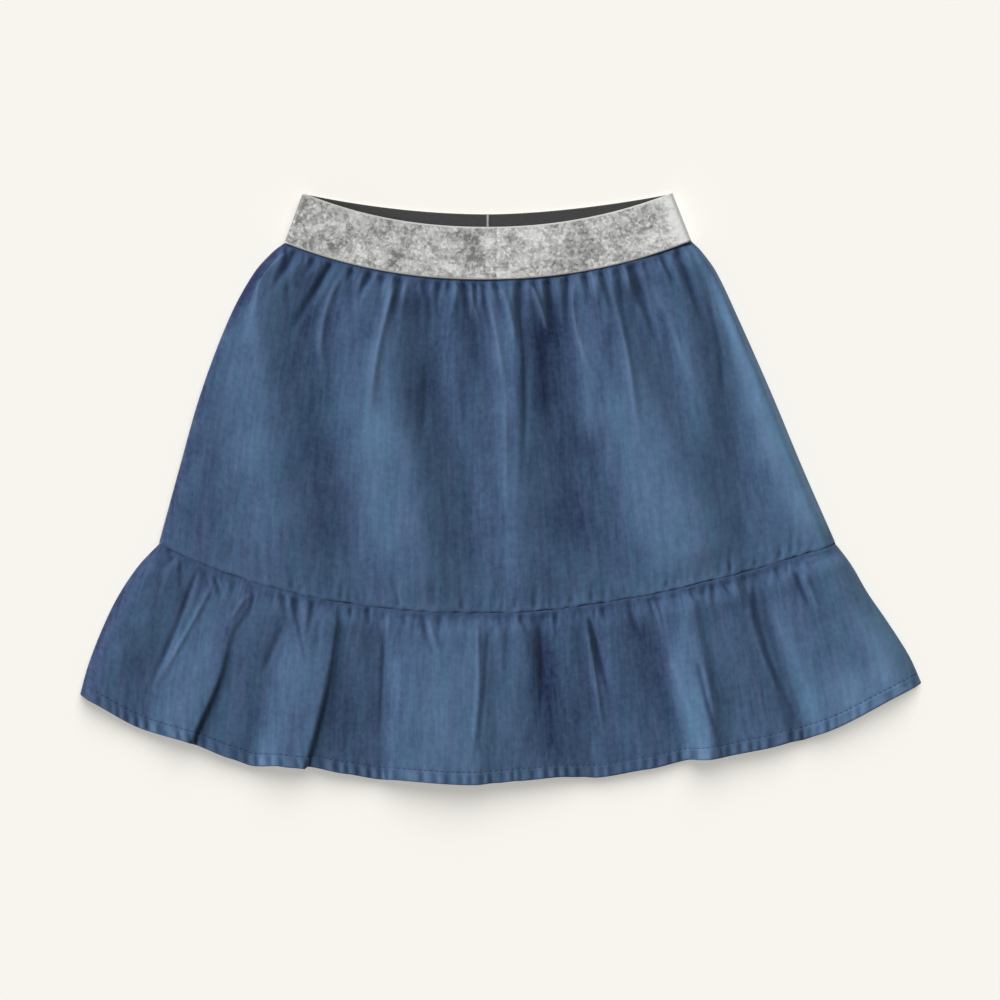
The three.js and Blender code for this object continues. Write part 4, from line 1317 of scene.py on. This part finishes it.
def denim_material(name, deep, worn, pale, streaks, fading, bump):
    _, tree, shader = new_material(name)
    weave = new_tree_node(tree, "ShaderNodeGroup", node_tree=weave_group())
    darkest = [mix(d, w, TONE_LOW) for d, w in zip(deep, worn)]
    lightest = [mix(d, w, TONE_HIGH) for d, w in zip(deep, worn)]
    set_inputs(weave, Deep=opaque(darkest), Worn=opaque(lightest), Streaks=streaks, Fading=fading)
    tree.links.new(named_value(tree, "tone"), weave.inputs["Tone"])
    # Painted shade: the crease mask mixes the denim towards the deep colour
    crease = times(tree, named_value(tree, "crease"), 0.5)
    # The wear_and_ridge_light mask mixes towards the pale colour: rubbing on the hem, and partly rubbing,
    # partly painted light on raised creases
    wear_and_ridge_light = times(tree, named_value(tree, "wear_and_ridge_light"), 0.5)
    darker = mix_colours(tree, crease, weave.outputs["Colour"], opaque(deep))
    tree.links.new(mix_colours(tree, wear_and_ridge_light, darker, opaque(pale)), shader.inputs["Base Color"])
    tree.links.new(weave.outputs["Roughness"], shader.inputs["Roughness"])
    add_relief(tree, shader, weave.outputs["Height"], bump, 0.0004)
    set_inputs(shader, Sheen_Weight=0.12, Sheen_Roughness=0.5, Specular_IOR_Level=0.25)


def glitter_material(colours):
    """Silver lurex: small facets of uneven brightness and tilt, and plain selvedges. The facets' brightness
    is partly the mix of silver and dark yarn and partly painted glint.
    """
    material, tree, shader = new_material("glitter_elastic")
    place = cloth_place(tree)
    facet = facets(tree, place, FACET_SCALE)
    # Painted glint: the facets' and clumps' brightness stands for sparkle, partly also the mix of silver and
    # dark yarn; the patches are painted sheen
    bright = times(tree, math_node(tree, "POWER", facet["Red"], 1.5), 0.5)
    lumps = times(tree, facets(tree, place, CLUMP_SCALE)["Red"], 0.36)
    patches = centred(tree, stretched_noise(tree, place, PATCH_SCALE, 4.0, 0.65), 1.6)
    ribs = centred(tree, stretched_noise(tree, place, RIB_SCALE), 0.5)
    tone = total(tree, bright, lumps, patches, ribs, named_value(tree, "shine_and_shade"), 0.08)
    colour = mix_colours(tree, tone, opaque(colours.elastic_dark), opaque(colours.elastic_bright))
    selvedge = named_value(tree, "selvedge")
    colour = mix_colours(tree, selvedge, colour, opaque(colours.selvedge))
    tree.links.new(colour, shader.inputs["Base Color"])
    plain = math_node(tree, "SUBTRACT", 1.0, selvedge)
    tree.links.new(times(tree, plain, 0.12), shader.inputs["Metallic"])
    set_inputs(shader, Specular_IOR_Level=0.3)
    tree.links.new(total(tree, 0.5, times(tree, facet["Green"], 0.35)), shader.inputs["Roughness"])
    add_relief(tree, shader, times(tree, facet["Blue"], plain), 0.6, 0.0003)
    return material


def charcoal_material(colour):
    """The elastic's plain dark inside, with fine ribs that run round it."""
    material, tree, shader = new_material("elastic_inside")
    ribs = stretched_noise(tree, cloth_place(tree), INSIDE_SCALE, 2.0, 0.5)
    shade = mix_colours(tree, ribs, opaque(colour, 0.6), opaque(colour, 1.4))
    tree.links.new(shade, shader.inputs["Base Color"])
    set_inputs(shader, Roughness=0.9)
    return material


def thread_material(name, colour):
    """Thread of one colour with a slight variation along it, made once."""
    if name in bpy.data.materials:
        return bpy.data.materials[name]
    material, tree, shader = new_material(name)
    place = new_tree_node(tree, "ShaderNodeTexCoord").outputs["Object"]
    noise = new_tree_node(tree, "ShaderNodeTexNoise")
    set_inputs(noise, Scale=900.0, Detail=2.0)
    tree.links.new(place, noise.inputs["Vector"])
    shade = mix_colours(tree, noise.outputs["Fac"], opaque(colour, 0.7), opaque(colour, 1.3))
    tree.links.new(shade, shader.inputs["Base Color"])
    set_inputs(shader, Roughness=0.8)
    return material


def length_property(label, text, millimetres):
    return bpy.props.FloatProperty(name=label, description=text, default=millimetres * MM, unit="LENGTH")


def count_property(label, text, count):
    return bpy.props.IntProperty(name=label, description=text, default=count)


class SkirtSizes(bpy.types.PropertyGroup):
    denim_wall: length_property("Denim wall", "Thickness of a denim piece", 1.2)
    elastic_wall: length_property("Elastic wall", "Thickness of the waistband", 1.8)
    hem_wall: length_property("Hem wall", "Thickness of the folded hem", 1.9)
    hem_depth: length_property("Hem depth", "Height of the folded hem", 7)
    view_width: length_property("View width", "Width of what the camera sees", 600)
    # Painted light and shade by fold height: fold tops painted lighter and troughs painted darker
    fold_light_and_shade: bpy.props.FloatProperty(
        name="Fold light and shade", description="How much the wash has faded the tops of the folds", default=0.3)
    panel_columns: count_property("Panel columns", "Divisions across the front panel", 361)
    ruffle_columns: count_property("Ruffle columns", "Divisions across the front ruffle", 441)
    under_columns: count_property("Under columns", "Divisions across each back piece", 201)


def colour_property(label, text, value):
    return bpy.props.FloatVectorProperty(
        name=label, description=text, default=value, subtype="COLOR", size=3, min=0, max=1)


class SkirtColours(bpy.types.PropertyGroup):
    # The deep colour is also that of the painted shade in creases, and the pale colour also that of the
    # painted light on raised creases
    deep: colour_property("Deep denim", "Denim where the dye is deepest, and painted shade in creases", (0.017, 0.036, 0.094))
    worn: colour_property("Worn denim", "Denim where the dye has faded", (0.082, 0.151, 0.259))
    pale: colour_property("Pale denim", "Denim at rubbed edges, and painted ridge light", (0.155, 0.24, 0.38))
    inside: colour_property("Inside denim", "The cloth's wrong side", (0.22, 0.29, 0.37))
    # The darkest and brightest facets span the dark yarn and the painted glint of the glitter
    elastic_dark: colour_property("Elastic dark", "Darkest facets of the glitter", (0.19, 0.19, 0.184))
    elastic_bright: colour_property("Elastic bright", "Brightest facets of the glitter", (0.76, 0.76, 0.745))
    hem_thread: colour_property("Hem thread", "Thread of the hem", (0.030, 0.058, 0.115))
    seam_thread: colour_property("Seam thread", "Thread of the elastic's seam", (0.42, 0.42, 0.41))
    elastic_inside: colour_property("Elastic inside", "Inside of the waistband", (0.045, 0.045, 0.045))
    selvedge: colour_property("Selvedge", "Plain edges of the elastic", (0.50, 0.50, 0.48))
    floor: colour_property("Floor", "The surface that the skirt lies on", (0.938, 0.913, 0.858))


def denim_pair(colours):
    """The materials of the denim's right and wrong side, made once."""
    if "denim_face" not in bpy.data.materials:
        denim_material("denim_face", colours.deep, colours.worn, colours.pale, 0.6, 0.7, 0.35)
        inside = colours.inside
        denim_material("denim_inside", [0.75 * c for c in inside], inside, inside, 0.4, 0.3, 0.3)
    return [bpy.data.materials["denim_face"], bpy.data.materials["denim_inside"]]


class SKIRT_OT_waistband(bpy.types.Operator):
    """Build the glitter elastic waistband"""
    bl_idname = "skirt.waistband"
    bl_label = "Waistband"

    def execute(self, context):
        sizes = context.scene.skirt_sizes
        colours = context.scene.skirt_colours
        build_waistband(sizes, [glitter_material(colours), charcoal_material(colours.elastic_inside)])
        build_back_seam(sizes, thread_material("seam_thread", colours.seam_thread))
        return {"FINISHED"}


class SKIRT_OT_front(bpy.types.Operator):
    """Build the front panel and the front ruffle"""
    bl_idname = "skirt.front"
    bl_label = "Front panel and ruffle"

    def execute(self, context):
        sizes = context.scene.skirt_sizes
        colours = context.scene.skirt_colours
        materials = denim_pair(colours)
        build_front_panel(sizes, materials)
        build_front_ruffle(sizes, materials, thread_material("hem_thread", colours.hem_thread))
        return {"FINISHED"}


class SKIRT_OT_back(bpy.types.Operator):
    """Build the back panel and the back ruffle"""
    bl_idname = "skirt.back"
    bl_label = "Back panel and ruffle"

    def execute(self, context):
        sizes = context.scene.skirt_sizes
        colours = context.scene.skirt_colours
        materials = denim_pair(colours)
        thread = thread_material("hem_thread", colours.hem_thread)
        build_under("back_panel_denim", "back_panel", PANEL_OUTLINE, ("waist", "seam"), UNDER_PANEL,
                    PANEL_CUT, sizes, materials)
        build_under("back_ruffle_denim", "back_ruffle", RUFFLE_OUTLINE, ("seam", "hem"), UNDER_RUFFLE,
                    RUFFLE_CUT, sizes, materials, sizes.hem_depth / MM, thread)
        return {"FINISHED"}


def build_floor(scene, colour):
    """A wide pale floor, and the two groups of pieces that the lights reach."""
    mesh = bpy.data.meshes.new("floor")
    corners = [(x * FLOOR_HALF, y * FLOOR_HALF, 0) for x, y in ((-1, -1), (1, -1), (1, 1), (-1, 1))]
    mesh.from_pydata(corners, [], [(0, 1, 2, 3)])
    floor = bpy.data.objects.new("floor", mesh)
    scene.collection.objects.link(floor)
    floor.location.z = -FLOOR_DROP
    material, _, shader = new_material("floor")
    set_inputs(shader, Base_Color=opaque(colour, FLOOR_SHARE), Roughness=0.95)
    set_inputs(shader, Emission_Color=opaque(colour), Emission_Strength=FLOOR_GLOW)
    mesh.materials.append(material)
    groups = {}
    for name, state in (("floor_alone", "INCLUDE"), ("all_but_floor", "EXCLUDE")):
        groups[name] = bpy.data.collections.new(name)
        groups[name].objects.link(floor)
        groups[name].collection_objects[0].light_linking.link_state = state
    return groups


def add_light(scene, name, azimuth, height, softness, power, receivers):
    """A soft sun that shines from a direction round the skirt and a height above it."""
    data = bpy.data.lights.new(name, "SUN")
    data.energy = power
    data.angle = math.radians(softness)
    light = bpy.data.objects.new(name, data)
    scene.collection.objects.link(light)
    turn = math.radians(azimuth)
    rise = math.radians(height)
    away = math.cos(rise)
    light.location = (math.cos(turn) * away, math.sin(turn) * away, math.sin(rise))
    light.rotation_mode = "QUATERNION"
    light.rotation_quaternion = light.location.to_track_quat("Z", "Y")
    light.light_linking.receiver_collection = receivers


class SKIRT_OT_stage(bpy.types.Operator):
    """Build the pale floor, the soft lights and the camera"""
    bl_idname = "skirt.stage"
    bl_label = "Floor, lights and camera"

    def execute(self, context):
        scene = context.scene
        groups = build_floor(scene, scene.skirt_colours.floor)
        for *light, receivers in LIGHTS:
            add_light(scene, *light, groups[receivers])
        world = bpy.data.worlds.new("studio")
        world.use_nodes = True
        set_inputs(world.node_tree.nodes["Background"], Color=opaque(WORLD_COLOUR), Strength=WORLD_STRENGTH)
        scene.world = world
        scene.view_settings.view_transform = "Standard"
        data = bpy.data.cameras.new("camera")
        data.sensor_width = SENSOR_WIDTH
        data.lens = LENS
        camera = bpy.data.objects.new("camera", data)
        scene.collection.objects.link(camera)
        x, y, z = CAMERA_PLACE
        camera.location = (x, y, scene.skirt_sizes.view_width * LENS / SENSOR_WIDTH + z)
        scene.camera = camera
        return {"FINISHED"}


class SKIRT_PT_panel(bpy.types.Panel):
    """Lists the steps that build the skirt"""
    bl_label = "Denim skirt"
    bl_idname = "SKIRT_PT_panel"
    bl_space_type = "VIEW_3D"
    bl_region_type = "UI"
    bl_category = "Skirt"

    def draw(self, context):
        for operator in OPERATORS:
            self.layout.operator(operator.bl_idname)
        for group in (context.scene.skirt_sizes, context.scene.skirt_colours):
            for name in group.__annotations__:
                self.layout.prop(group, name)


OPERATORS = (SKIRT_OT_back, SKIRT_OT_waistband, SKIRT_OT_front, SKIRT_OT_stage)
CLASSES = (SkirtSizes, SkirtColours, *OPERATORS, SKIRT_PT_panel)


def register():
    for cls in CLASSES:
        bpy.utils.register_class(cls)
    bpy.types.Scene.skirt_sizes = bpy.props.PointerProperty(type=SkirtSizes)
    bpy.types.Scene.skirt_colours = bpy.props.PointerProperty(type=SkirtColours)


def unregister():
    del bpy.types.Scene.skirt_colours
    del bpy.types.Scene.skirt_sizes
    for cls in reversed(CLASSES):
        bpy.utils.unregister_class(cls)


def main():
    register()
    for name in [obj.name for obj in bpy.data.objects if obj.type in {"CAMERA", "LIGHT"}]:
        bpy.data.objects.remove(bpy.data.objects[name])
    bpy.ops.skirt.back()
    bpy.ops.skirt.waistband()
    bpy.ops.skirt.front()
    bpy.ops.skirt.stage()


if __name__ == "__main__":
    main()
